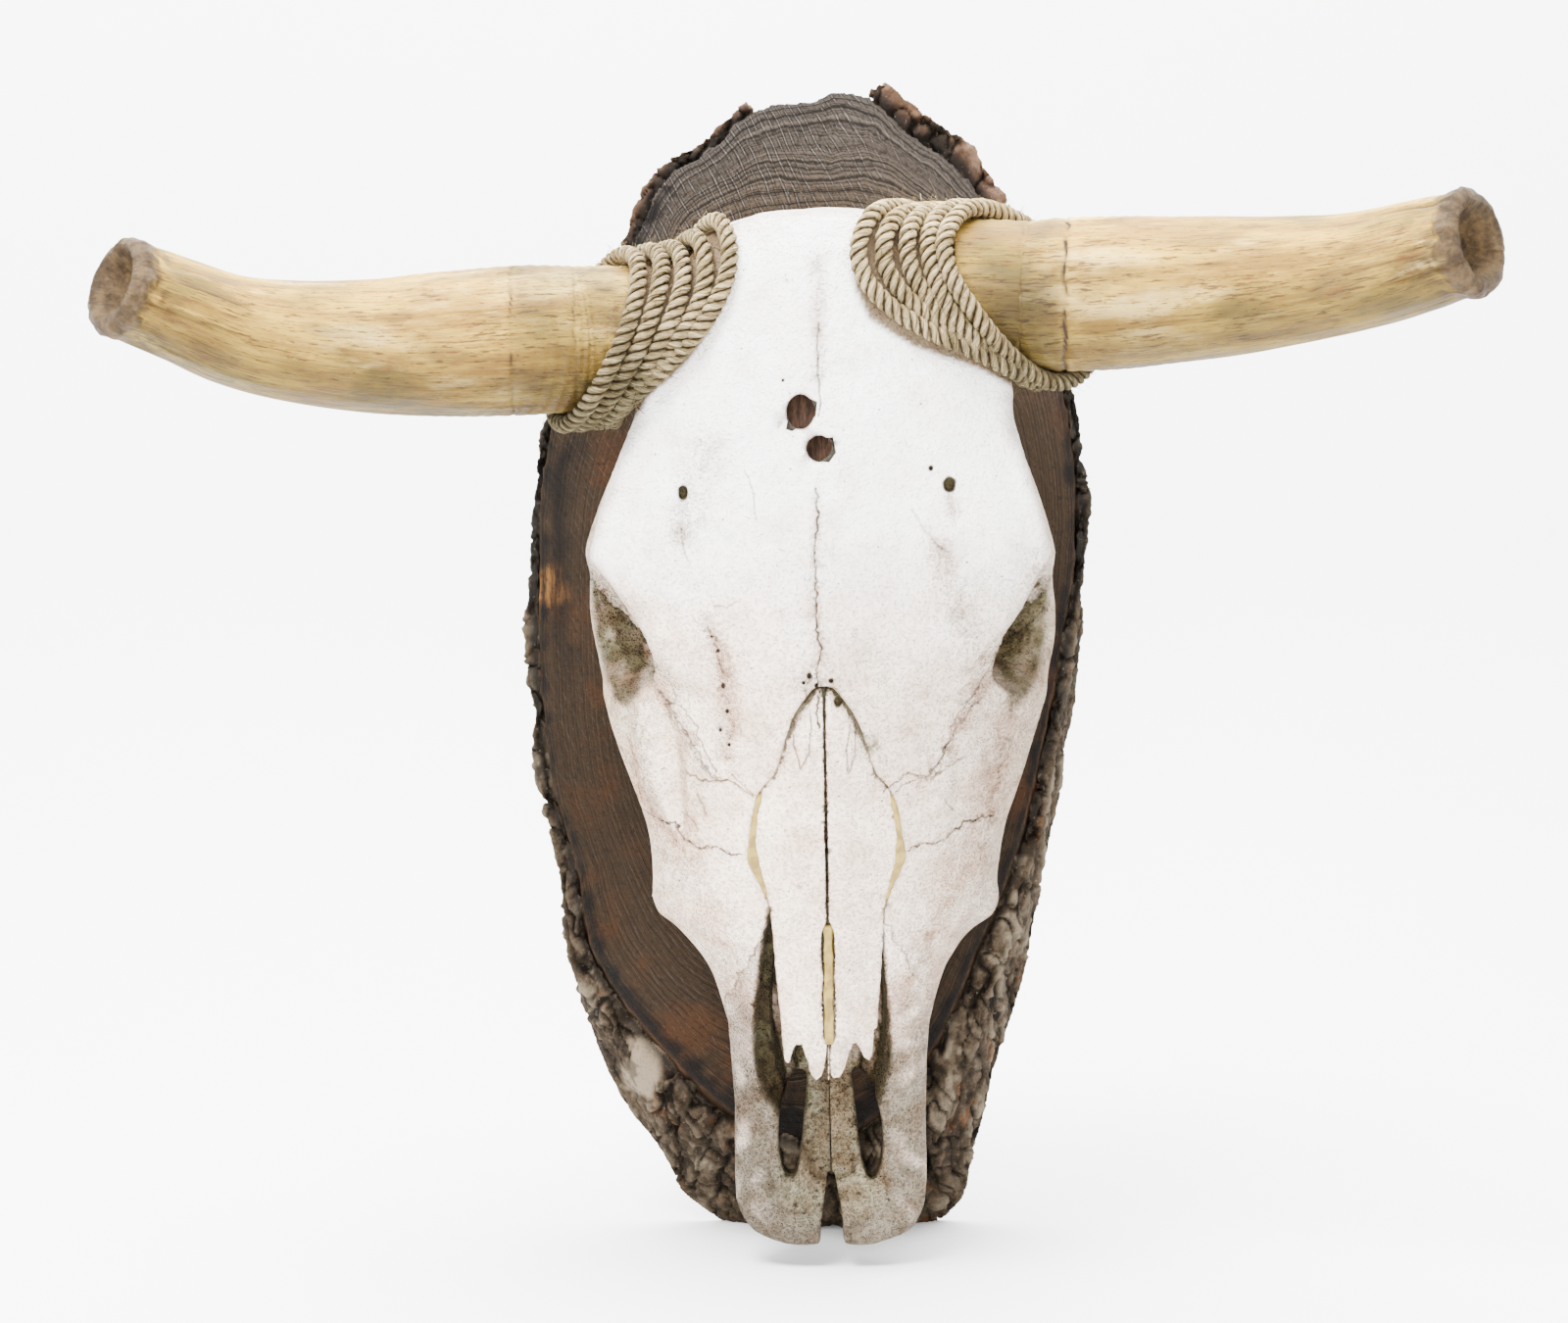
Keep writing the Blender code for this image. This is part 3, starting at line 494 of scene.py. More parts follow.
def bone_paint(name, dry=1.0):
    """Sun-bleached bone: painted tint that carries painted light and shade, brown specks in the pores, and
    dirt and painted shade darkening the hollows.
    """
    p = Paint(name, 0.75, 0.12)
    # This attribute holds real dirt and also painted shade on the sides, set-back cheeks, hollows, nose
    # walls, eye sockets and by the lashings.
    soil_and_shade = p.attribute("soil_and_shade")
    pore = p.attribute("pore")
    p.tone = p.attribute("tint", "Color")
    pink = p.both(p.span(p.noise(0.026, 5.0, 0.6), 0.40, 0.66), p.sum("ADD", soil_and_shade, 0.12))
    p.cover(pink, (0.74, 0.62, 0.56), "MULTIPLY")
    blotch = p.both(p.span(p.noise(0.014, 5.0, 0.6), 0.50, 0.72), soil_and_shade)
    p.cover(blotch, (0.55, 0.52, 0.48), "MULTIPLY")
    warm = p.span(p.noise(0.011, 6.0, 0.65), 0.42, 0.72, 0.0, 0.85)
    p.cover(p.both(warm, soil_and_shade), (0.52, 0.42, 0.34), "MULTIPLY")
    fine = p.noise(0.0010, 4.0, 0.65)
    grain = p.noise(0.0048, 6.0, 0.68)
    edge = p.sum("SUBTRACT", 0.735, p.both(soil_and_shade, 0.17))
    speck = p.span(p.sum("SUBTRACT", grain, edge), 0.0, 0.12, 0.0, 0.65)
    p.cover(speck, (0.32, 0.27, 0.22), "MULTIPLY")
    rough = p.sum("ADD", p.both(fine, 0.55), p.both(grain, 0.5))
    edge = p.sum("SUBTRACT", 0.735, p.both(soil_and_shade, 0.12))
    dark = p.span(p.sum("SUBTRACT", rough, edge), 0.0, 0.045, 0.0, 0.80)
    p.cover(dark, (0.13, 0.10, 0.07), "MULTIPLY")
    spots = p.specks(0.0062)
    chosen = p.span(spots.outputs["Color"], 0.62, 0.66)
    pit = p.both(p.span(spots.outputs["Distance"], 0.105, 0.055), chosen)
    p.cover(p.both(pit, 0.8), (0.10, 0.075, 0.05))
    scratch = p.streaks(0.0016, 5.0, 0.7, 0.10, turn=(0.0, 0.45, 0.0))
    p.coat(scratch, 0.715, 0.78, (0.30, 0.25, 0.20), 0.45, "MULTIPLY")
    p.rough(p.span(grain, 0.3, 0.7, 0.65, 0.88))
    hollow = p.both(p.span(p.specks(0.0017).outputs["Distance"], 0.62, 0.12), pore)
    p.relief(hollow, -0.0016 * dry)
    p.relief(pit, -0.0012)
    p.relief(p.noise(0.0085, 4.0, 0.6), 0.0030)
    p.relief(p.noise(0.0026, 6.0, 0.72), 0.0013 * dry)
    p.relief(p.sum("ADD", speck, dark), -0.0004, 0.8)
    return p.finished()


def glue_paint():
    """Amber resin with brown clouds in it."""
    p = Paint("amber_glue", 0.35, 0.35)
    p.tone = p.mix(p.span(p.noise(0.006), 0.35, 0.65), (0.150, 0.094, 0.010), (0.265, 0.186, 0.030))
    p.coat(p.noise(0.0025, 4.0, 0.6), 0.62, 0.74, (0.16, 0.08, 0.02), 0.6)
    p.relief(p.noise(0.003), 0.0004, 0.6)
    return p.finished()


def horn_paint():
    """Dry horn: straw fibres along its length, green and grey-blue patches, dark flaws, painted light on top
    and painted shade underneath.
    """
    p = Paint("dry_horn", 0.55, 0.16)
    grain = p.attribute("grain", "Vector")
    streak = p.streaks(0.0015, 6.0, 0.7, 0.030, grain)
    thread = p.streaks(0.0032, 5.0, 0.65, 0.05, grain)
    band = p.streaks(0.010, 5.0, 0.62, 0.16, grain)
    patch = p.streaks(0.034, 4.0, 0.6, 0.45, grain)
    cloudy = p.streaks(0.048, 3.0, 0.5, 0.7, grain, warp=0.6)
    p.tone = p.mix(p.span(band, 0.36, 0.66), (0.178, 0.097, 0.0100), (0.370, 0.230, 0.032))
    p.coat(patch, 0.48, 0.66, (0.093, 0.0672, 0.0091), 0.70)
    p.coat(cloudy, 0.52, 0.70, (0.0682, 0.0564, 0.0269), 0.70)
    p.coat(p.streaks(0.02, 5.0, 0.65, 0.2, grain), 0.52, 0.68, (0.50, 0.36, 0.125), 0.75)
    p.coat(thread, 0.55, 0.72, (0.0713, 0.033, 0.0058), 0.55)
    p.coat(streak, 0.56, 0.72, (0.0372, 0.0168, 0.0038), 0.80)
    p.coat(streak, 0.42, 0.28, (0.3844, 0.264, 0.0864), 0.5)
    p.coat(p.streaks(0.006, 6.0, 0.75, 0.35, grain), 0.58, 0.68, (0.0868, 0.0372, 0.0067), 0.7)
    p.coat(p.streaks(0.0016, 3.0, 0.6, 0.3, grain), 0.66, 0.74, (0.0279, 0.012, 0.0034), 0.8)
    dash = p.streaks(0.0011, 4.0, 0.65, 0.10, grain)
    many = p.span(p.streaks(0.022, 4.0, 0.6, 0.4, grain), 0.40, 0.62, 0.05, 0.085)
    p.coat(p.sum("ADD", dash, many), 0.62, 0.69, (0.055, 0.024, 0.005), 0.85)
    p.coat(p.streaks(0.009, 5.0, 0.7, 0.30, grain), 0.56, 0.68, (0.150, 0.062, 0.008), 0.65)
    # Painted light on the horn's top and painted shade on its underside.
    up = p.attribute("up")
    p.coat(up, 0.0, 0.85, (1.45, 1.42, 1.20), blend="MULTIPLY")
    p.coat(up, 0.0, -0.75, (0.42, 0.43, 0.42), blend="MULTIPLY")
    p.cover(p.attribute("dusk"), (0.30, 0.31, 0.34), "MULTIPLY")
    p.cover(p.attribute("flaw"), (0.0186, 0.009, 0.0034))
    share = p.span(p.noise(0.007, 5.0, 0.7), 0.35, 0.7)
    p.cover(p.attribute("cap"), p.mix(share, (0.0279, 0.0156, 0.0062), (0.0961, 0.0588, 0.024)))
    p.rough(p.span(band, 0.3, 0.7, 0.48, 0.68))
    p.relief(streak, -0.0009)
    p.relief(thread, -0.0010, 0.9)
    p.relief(dash, -0.0005)
    p.relief(p.noise(0.0035, 6.0, 0.72), 0.0009, 0.8)
    p.relief(p.both(p.noise(0.0022, 5.0, 0.7), p.attribute("cap")), 0.0016)
    return p.finished()


def rope_paint():
    """Twisted plant fibre: pale and pinkish outside, painted light on the upper right, painted olive shade
    lower down, painted shade between the strands.
    """
    p = Paint("plant_fibre_rope", 0.95, 0.05)
    lay = p.attribute("fibre", "Vector")
    yarn = p.streaks(0.0006, 4.0, 0.7, 0.09, lay)
    strip = p.streaks(0.0013, 4.0, 0.6, 0.14, lay)
    p.tone = p.mix(p.span(p.noise(0.016, 4.0, 0.6), 0.36, 0.64), (0.163, 0.118, 0.053), (0.305, 0.228, 0.120))
    height = p.add("ShaderNodeSeparateXYZ", {0: p.place}).outputs[2]
    # Painted shade: olive darkening lower down the lashings.
    low = p.span(p.sum("ADD", height, p.both(p.noise(0.022, 4.0), 0.10)), 0.292, 0.232, 0.0, 0.92)
    p.cover(low, (0.046, 0.041, 0.021))
    p.coat(strip, 0.48, 0.64, (0.045, 0.028, 0.0125), 0.85)
    p.coat(yarn, 0.53, 0.68, (0.030, 0.018, 0.0085), 0.80)
    # Pale fibres as painted highlights, fewer in the painted shade lower down.
    p.cover(p.both(p.span(yarn, 0.47, 0.32), p.sum("SUBTRACT", 0.95, p.both(low, 0.6))), (0.48, 0.410, 0.255))
    # Painted light: the upper part of the right lashing is brightened.
    p.cover(p.attribute("upper_right_light"), (2.10, 2.08, 2.02), "MULTIPLY")
    # Painted shade in the gaps between the strands.
    p.cover(p.both(p.attribute("strand_gap_shade"), 0.95), (0.0125, 0.0078, 0.0032))
    p.relief(strip, -0.0007, 0.9)
    p.relief(yarn, -0.0006)
    return p.finished()


def slab_paint():
    """Sawn, weathered wood with growth rings; grey where the sun reached it, black at the cambium; painted
    shade and highlights on the saw marks.
    """
    p = Paint("sawn_slab_wood", 0.8, 0.10)
    ring = p.attribute("ring")
    grey = p.attribute("grey")
    turn = p.sum("ADD", ring, p.both(p.noise(0.05, 4.0, 0.6), 0.030))
    wide = p.add("ShaderNodeTexNoise", {"W": p.both(turn, 50.0), "Detail": 5.0, "Roughness": 0.72},
                 noise_dimensions="1D")
    fine = p.noise(0.0028, 6.0, 0.72)
    p.tone = p.mix(p.span(wide, 0.34, 0.66), (0.0060, 0.0038, 0.0023), (0.0360, 0.0220, 0.0115))
    p.coat(p.noise(0.055, 4.0, 0.6), 0.47, 0.66, (0.042, 0.0170, 0.0062), 0.65)
    rings = p.sum("ADD", p.both(wide, 0.62), p.both(fine, 0.38))
    worn = p.mix(p.span(rings, 0.40, 0.60), (0.0105, 0.0074, 0.0045), (0.084, 0.0560, 0.0305))
    pale = p.mix(p.span(rings, 0.42, 0.58), (0.0065, 0.0058, 0.0053), (0.054, 0.0475, 0.0440))
    p.cover(grey, p.mix(p.span(ring, 0.78, 1.0, 0.0, 0.8), worn, pale))
    wood = p.streaks(0.0022, 5.0, 0.7, 0.12, turn=(0.0, 0.2, 0.0))
    p.cover(p.attribute("rust"), p.mix(p.span(wood, 0.42, 0.62), (0.20, 0.094, 0.027), (0.050, 0.021, 0.007)))
    p.coat(fine, 0.52, 0.70, (0.004, 0.0029, 0.0024), 0.75)
    phase = p.sum("PINGPONG", p.attribute("kerf"), 0.5)
    saw, sawn = p.attribute("saw", "Vector"), p.attribute("sawn")
    dash = p.streaks(0.0030, 4.0, 0.75, 0.38, saw)
    broken = p.both(p.span(dash, 0.46, 0.56), p.span(wide, 0.38, 0.54, 0.2, 1.0))
    line = p.both(p.both(p.span(phase, 0.405, 0.485), broken), sawn)
    # Painted shade on the flanks of each saw mark and a painted highlight on its crest.
    shade = p.both(p.span(phase, 0.40, 0.32), p.span(phase, 0.20, 0.30))
    shade = p.both(shade, p.both(p.span(dash, 0.36, 0.50, 0.0, 0.75), sawn))
    p.cover(shade, (0.0075, 0.0062, 0.0052))
    p.cover(line, (0.165, 0.150, 0.136))
    bright = p.span(p.streaks(0.0012, 5.0, 0.75, 0.3, saw), 0.60, 0.69, 0.0, 0.7)
    p.cover(p.both(bright, sawn), (0.132, 0.1224, 0.1147))
    p.cover(p.attribute("cambium"), (0.003, 0.0027, 0.0026))
    p.relief(wide, 0.0014)
    p.relief(shade, -0.0008)
    p.relief(line, 0.0006, 0.8)
    p.relief(p.noise(0.0016, 6.0, 0.75), 0.0008, 0.9)
    return p.finished()


def bark_paint():
    """Fissured bark: grey-brown ridges, black cracks, rust-brown and pale worn places."""
    p = Paint("fissured_bark", 0.92, 0.06)
    mottle = p.span(p.noise(0.012, 6.0, 0.7), 0.36, 0.64)
    p.tone = p.mix(mottle, (0.0197, 0.0132, 0.0078), (0.064, 0.0467, 0.0303))
    p.cover(p.both(p.attribute("high"), 0.8), (0.150, 0.120, 0.083))
    p.coat(p.noise(0.020, 5.0, 0.65), 0.56, 0.70, (0.0804, 0.0323, 0.0103), 0.75)
    share = p.span(p.noise(0.014, 5.0, 0.65), 0.40, 0.62)
    rusty = p.mix(share, (0.060, 0.030, 0.0165), (0.150, 0.088, 0.056))
    for name, colour in (("rusty", rusty), ("smooth", (0.200, 0.155, 0.106)),
                         ("black", (0.007, 0.0064, 0.0057)), ("deep", (0.0045, 0.0032, 0.0021))):
        p.cover(p.attribute(name), colour)
    p.coat(p.noise(0.0016, 6.0, 0.75), 0.52, 0.68, (0.0082, 0.0058, 0.0037), 0.65)
    p.coat(p.noise(0.0022, 5.0, 0.75), 0.60, 0.70, (0.164, 0.136, 0.0984), 0.5)
    p.relief(p.noise(0.004, 7.0, 0.78), 0.0022)
    return p.finished()


# ---- the skull ----------------------------------------------------------------------------
ABOVE = 250.0
BELOW = -20.0
SEAM_MM = 0.35                     # width of the cut between two bones
PARTING_STEPS = 420
FACE_Z = 380.0                     # mm, above it lies the cranium
MUZZLE_Z = 160.0                   # mm, below it lie the premaxillae
# half of each parting line, as places (x, z), and how far it has moved from face to base at some heights h
SUTURE_FACE = ((150, 412), (124, 392), (89, 354), (80, 338), (69, 320), (57, 292), (45, 290), (33, 279),
               (0, 279))
SUTURE_BASE = ((150, 412), (124, 396), (96, 378), (85, 374), (72, 372), (60, 372), (45, 372), (30, 372),
               (0, 372))
SUTURE_LEVELS = ((ABOVE, 0.0), (120, 0.0), (18, 1.0), (BELOW, 1.0))
MUZZLE_FACE = ((80, 146), (58, 158), (42, 190), (24, 224), (0, 224))
MUZZLE_BASE = ((80, 146), (58, 150), (42, 150), (24, 150), (0, 150))
MUZZLE_LEVELS = ((ABOVE, 0.0), (62, 0.0), (50, 1.0), (BELOW, 1.0))
# the slot on the midline: z, half width and span of h
SLOT = ((56, 0.5, BELOW, ABOVE), (84, 0.3, BELOW, ABOVE), (278.9, 0.3, BELOW, ABOVE),
        (279.3, 0.3, BELOW, 119.67), (371.9, 0.3, BELOW, 18.11))
BONE_VOXEL = 2.1                   # mm
FINE_MARGIN = 2.0                  # mm of finer mesh beside a groove
FINE_RIM = 1.5                     # mm, the same round a hole
CLOSE_UP = 0.3                     # mm the bones swell by, so that they melt together, and shrink again
NASAL_VOXEL = 0.9                  # mm
NASAL_WEAR = 0.6                   # share of the unevenness that the nasal bones get
NASAL_NEAR = 1.72                  # where the cutter of their ends starts, from the camera
NOSE_ROW = 1180                    # pixel row below the nasal bones
CHIP_LEAD = 0.02                   # how far in front of the bone a chip's cutter starts
CAMERA_AWAY = 2.0                  # distance of the wall's plane from the camera

# cuts and cracks: half width and depth (mm), wander (mm), darkness, pixels
GROOVES = (
    (0.65, 1.1, 1.7, 0.9, ((662, 830), (683, 841), (690, 838), (698, 856), (712, 866), (730, 864), (745, 873),
                           (757, 872))),
    (0.65, 1.1, 1.7, 0.9, ((925, 868), (943, 860), (960, 860), (985, 838), (1014, 832))),
    (0.5, 0.7, 1.5, 0.75, ((677, 784), (700, 789), (718, 797), (743, 797), (757, 805), (768, 813))),
    (0.5, 0.7, 1.5, 0.7, ((903, 806), (925, 790), (950, 792), (972, 780), (985, 772))),
    (0.55, 0.6, 1.0, 0.8, ((835, 330), (834, 350), (835, 380), (837, 405), (836, 425), (839, 445))),
    (0.60, 1.0, 1.3, 0.95, ((835, 470), (833, 500), (835, 530), (831, 560), (833, 600), (833, 640),
                            (838, 668), (832, 688))),
    (0.6, 1.0, 1.0, 0.9, ((832, 688), (836, 705), (833, 728), (836, 742))),
    (0.55, 0.9, 1.7, 0.55, ((672, 702), (683, 716), (690, 732), (699, 745), (706, 757), (714, 772),
                            (720, 785), (728, 796))),
    (0.5, 0.8, 1.6, 0.5, ((1003, 712), (990, 722), (977, 742), (966, 760), (957, 780), (948, 788))),
    (0.5, 0.5, 1.0, 0.6, ((722, 640), (731, 662), (737, 685))),
    (0.55, 0.4, 0.5, 0.7, ((808, 735), (810, 760), (817, 785), (825, 770), (828, 740), (822, 705))),
    (0.55, 0.4, 0.5, 0.6, ((868, 740), (864, 765), (866, 790), (873, 770), (874, 745))),
    (0.45, 0.3, 0.6, 0.4, ((728, 618), (742, 620), (752, 614))),
    (0.5, 0.5, 0.9, 0.6, ((711, 810), (716, 820), (720, 830))),
    (0.5, 0.5, 0.9, 0.5, ((965, 815), (972, 826))),
    (0.45, 0.3, 0.8, 0.5, ((694, 540), (697, 560), (704, 575))),
    (0.45, 0.3, 0.8, 0.5, ((760, 480), (768, 500), (772, 530))),
    (0.45, 0.3, 0.8, 0.4, ((930, 520), (945, 545), (962, 560))),
    (0.45, 0.3, 0.8, 0.5, ((700, 830), (706, 836), (712, 848))),
)
# holes: radius (mm), depth (mm), stretch in z, pixel
HOLES = ((2.6, 7.0, 1.5, (697, 503)), (3.6, 7.0, 1.15, (969, 495)), (1.3, 2.5, 1.2, (950, 478)),
         (2.2, 6.0, 1.4, (855, 715)), (1.5, 1.4, 1.0, (848, 695)), (0.9, 1.2, 1.0, (799, 388)),
         (1.3, 2.2, 1.3, (826, 690)), (1.1, 1.8, 1.2, (833, 700)), (1.0, 1.5, 1.0, (820, 697)),
         (1.1, 1.6, 1.6, (738, 700)), (1.0, 1.4, 1.3, (742, 726)), (0.9, 1.4, 1.3, (735, 745)),
         (0.9, 1.2, 1.2, (744, 760)), (0.9, 1.0, 1.2, (733, 664)), (0.8, 1.0, 1.0, (726, 650)))
# ragged ends of the nasal bones
NASAL_ENDS = {
    "nasal_left": ((780, 1040), (796, 1050), (798, 1070), (800, 1084), (803, 1089), (806, 1082), (809, 1071),
                   (812, 1066), (818, 1066), (821, 1074), (824, 1087), (828, 1097), (833, 1102), (838, 1098),
                   (841, 1090), (843, 1075), (845, 1040)),
    "nasal_right": ((844, 1040), (846, 1062), (846, 1092), (850, 1100), (857, 1099), (862, 1090), (866, 1076),
                    (870, 1065), (874, 1064), (878, 1071), (882, 1079), (887, 1082), (890, 1076), (892, 1050),
                    (910, 1040)),
}
# floors of the eye sockets, dark olive: mossy stain and painted shade
SOCKETS = (
    ((602, 582), (614, 600), (631, 624), (646, 641), (656, 655), (662, 673), (662, 679), (656, 684),
     (655, 699), (650, 712), (640, 722), (628, 715), (615, 685), (608, 650), (604, 612)),
    ((1071, 588), (1060, 603), (1045, 625), (1028, 648), (1015, 665), (1012, 675), (1020, 688), (1026, 701),
     (1030, 722), (1043, 718), (1059, 690), (1067, 650), (1070, 612)),
)
# ragged edges broken through the bone: outlines in pixels, and how deep (mm) they go
CHIPS = (
    (24.0, ((818, 404), (808, 416), (804, 428), (802, 438), (808, 440), (820, 434), (832, 425), (834, 410))),
    (24.0, ((832, 448), (828, 455), (827, 462), (834, 470), (846, 472), (853, 462), (850, 446))),
)
# sunken walls of the nose, which get painted shade: how deep (mm), softness (px), outline in pixels
SINKS = (
    (20.0, 4.0, ((786, 935), (780, 960), (775, 1000), (771, 1040), (771, 1075), (776, 1100), (784, 1122),
                 (800, 1140), (812, 1120), (812, 1080), (800, 1000), (792, 950))),
    (16.0, 4.0, ((899, 950), (902, 1000), (905, 1040), (908, 1075), (904, 1100), (897, 1122), (886, 1135),
                 (876, 1110), (880, 1080), (889, 1010), (893, 960))),
)
# where the lashings cover the bone
LASHED = (
    ((745, 232), (744, 290), (724, 338), (699, 372), (664, 402), (642, 436), (540, 440), (600, 340),
     (640, 232)),
    ((888, 208), (874, 250), (871, 290), (886, 327), (930, 353), (1000, 377), (1060, 408), (1120, 410),
     (1110, 370), (1040, 320), (1020, 280), (1010, 205)),
)
# the two bars of bone between the openings at the tip of the nose
MEDIAL_BARS = ((812, 1070), (880, 1070), (885, 1130), (905, 1215), (875, 1240), (815, 1240), (795, 1215),
               (808, 1130))
# worn or dirty zones: radius (mm), soil, pores, hollow (mm), pixels
ZONES = (
    (4.0, 0.55, 0.4, 0.2, ((835, 262), (835, 300), (836, 340), (835, 385))),
    (3.5, 0.40, 0.4, 0.0, ((834, 470), (832, 560), (834, 640), (838, 675))),
    (3.5, 0.75, 0.8, 0.9, ((696, 515), (694, 535), (693, 550))),
    (3.0, 0.6, 0.8, 0.6, ((970, 510), (975, 525))),
    (5.5, 0.80, 1.0, 0.3, ((720, 635), (733, 660), (738, 680), (741, 700), (741, 740), (740, 770))),
    (6.0, 0.50, 0.8, 0.1, ((960, 560), (972, 600), (985, 640))),
    (4.0, 0.80, 1.0, -0.7, ((672, 700), (690, 730), (705, 750), (715, 775), (725, 790))),
    (4.0, 0.80, 1.0, -0.7, ((1000, 700), (985, 720), (970, 750), (955, 785))),
    (8.0, 0.45, 1.0, -0.3, ((606, 582), (622, 612), (645, 645), (668, 685))),
    (8.0, 0.45, 1.0, -0.3, ((1066, 582), (1050, 612), (1030, 645), (1008, 680))),
    (5.0, 0.85, 1.0, 0.3, ((820, 700), (830, 690), (842, 700))),
    (9.0, 0.35, 0.5, 0.0, ((720, 460), (705, 500), (700, 540))),
    (10.0, 0.30, 0.5, 0.0, ((690, 860), (720, 920), (750, 980))),
    (10.0, 0.35, 0.5, 0.0, ((1000, 860), (965, 920), (930, 1000))),
    (7.0, 0.45, 0.6, 0.0, ((650, 720), (655, 780), (665, 830))),
    (7.0, 0.45, 0.6, 0.0, ((1030, 720), (1020, 790), (1010, 830))),
)


def leaning(line):
    """Both halves of a parting line, leaning with the face, as evenly spaced places (x, z)."""
    whole = [(-x, z) for x, z in line] + list(reversed(line[:-1]))
    spots = np.array([(x + drift(z), z) for x, z in whole], float)
    steps = np.concatenate([[0], np.cumsum(np.linalg.norm(np.diff(spots, axis=0), axis=1))])
    walk = np.linspace(0, 1, PARTING_STEPS)
    return np.stack([np.interp(walk, steps / steps[-1], spots[:, k]) for k in (0, 1)], axis=1)


def ragged(line):
    """Push a line of places from side to side, as bones knit together."""
    ahead = np.gradient(line, axis=0)
    ahead /= np.linalg.norm(ahead, axis=1, keepdims=True)
    side = np.stack([-ahead[:, 1], ahead[:, 0]], axis=1)
    spots = np.concatenate([line, np.zeros((len(line), 1))], axis=1)
    swing = 2.4 * cloud(spots, 7.0, 3) + 1.9 * cloud(spots, 2.9, 5)
    return line + side * swing[:, None], side


def curtain(face_line, base_line, levels):
    """Thin closed wall that parts the bones, between a line on the face and one on the base."""
    face, side = ragged(leaning(face_line))
    base = leaning(base_line)
    rows = []
    for h, share in levels:
        line = face + (base - face) * share
        for hand in (-0.5, 0.5):
            edge = line + side * (hand * SEAM_MM)
            rows.append([at(x, h, z) for x, z in edge])
    count = len(rows[0])
    points = [point for row in rows for point in row]
    faces = []
    for level in range(len(levels) - 1):
        for hand in (0, 1):
            low = (2 * level + hand) * count
            high = (2 * level + 2 + hand) * count
            for k in range(count - 1):
                faces.append((low + k, low + k + 1, high + k + 1, high + k))
        for k in (0, count - 1):
            low, high = 2 * level * count + k, (2 * level + 2) * count + k
            faces.append((low, low + count, high + count, high))
    for low in (0, (2 * len(levels) - 2) * count):
        for k in range(count - 1):
            faces.append((low + k, low + k + 1, low + count + k + 1, low + count + k))
    return closed_object("curtain", points, faces)


def closed_object(name, points, faces):
    """New object of flat faces that all point outwards."""
    bm = bmesh.new()
    verts = [bm.verts.new(point) for point in points]
    for face in faces:
        bm.faces.new([verts[k] for k in face])
    bmesh.ops.triangulate(bm, faces=bm.faces)
    bmesh.ops.recalc_face_normals(bm, faces=bm.faces)
    return object_from(name, bm)


def slot_cutter():
    """Thin upright wall on the midline of the face, lower where the braincase covers it."""
    points = []
    for z, half, low, high in SLOT:
        section = ((-half, low), (half, low), (half, high), (-half, high))
        points += [at(drift(z) + side, h, z) for side, h in section]
    faces = [(0, 1, 2, 3), tuple(range(len(points) - 4, len(points)))]
    for row in range(0, len(points) - 4, 4):
        for k in range(4):
            a, b = row + k, row + (k + 1) % 4
            faces.append((a, b, b + 4, a + 4))
    return closed_object("slot", points, faces)


def loose_parts(obj):
    """The separate bodies of an object, biggest first, each as its own object."""
    mesh = obj.data
    label = joined(len(mesh.vertices), read(mesh.edges, "vertices", 2, np.int32).T)
    kinds, counts = np.unique(label, return_counts=True)
    parts = []
    for kind in kinds[np.argsort(-counts)][:len(BONES)]:
        bm = bmesh.new()
        bm.from_mesh(mesh)
        drop = [vert for vert in bm.verts if label[vert.index] != kind]
        bmesh.ops.delete(bm, geom=drop, context="VERTS")
        parts.append(object_from("bone", bm))
    bpy.data.objects.remove(obj)
    return parts


def bone_name(obj):
    """Which CAD bone a loose part stands for, by the place of its middle."""
    points = points_of(obj.data) / MM
    x, z = points[:, 0].mean(), points[:, 2].mean() + FOOT
    hand = "left" if x < drift(z) else "right"
    if z > FACE_Z:
        return "cranium"
    return ("maxilla_" if z > MUZZLE_Z else "premaxilla_") + hand


def marks_on(tree):
    """The grooves, holes and zones that meet the bone, each with its pixels laid on it."""
    marks = ([(*sizes, laid(pixels, tree)) for *sizes, pixels in GROOVES],
             [(*sizes, laid([pixel], tree)) for *sizes, pixel in HOLES],
             [(*sizes, laid(pixels, tree)) for *sizes, pixels in ZONES])
    return [[mark for mark in kind if len(mark[-1])] for kind in marks]


def stray_points(points, stray):
    """Points nudged by a fine random field, which makes a line drawn by distance ragged."""
    nudges = [cloud(points, 0.0045, salt) + 0.5 * cloud(points, 0.0021, salt + step)
              for salt, step in ((31, 6), (41, 2))]
    return points + MM * stray * np.stack([nudges[0], np.zeros(len(points)), nudges[1]], axis=1)


SEEN_DEPTH = 0.012                 # this far behind the first surface the camera meets still counts as seen
SHELTER_RAYS = 20
SHELTER_REACH = 0.09
SHELTER_LIFT = 0.0015              # how far above the bone they start
SHELTER_SPOTS = 4000


def near(points, line, reach):
    """Indices of the points inside the line's box, grown by reach."""
    low, high = line.min(0) - reach, line.max(0) + reach
    return np.nonzero(((points > low) & (points < high)).all(1))[0]


def near_zone(points, radius, line):
    """The points in a worn zone, and how much of it each one gets."""
    some = near(points, line, radius * 2.5 * MM)
    return some, np.exp(-(from_line(points[some], line) / (radius * MM)) ** 2)


def near_groove(points, half, stray, line, reach):
    """The points about a groove, and how many half widths away from its ragged line they are."""
    some = near(points, line, reach * MM)
    return some, from_line(stray_points(points[some], stray), line) / (half * MM)


def hole_reach(points, radius, tall, spot):
    """Distance from a hole's middle as a share of its ragged radius."""
    apart = (points - spot) / np.array((1.0, 1.0 / DEPTH_SHARE, tall))
    ragged_edge = 1 + 0.25 * cloud(points, 0.004, 61)
    return np.linalg.norm(apart, axis=1) / (radius * MM) / ragged_edge


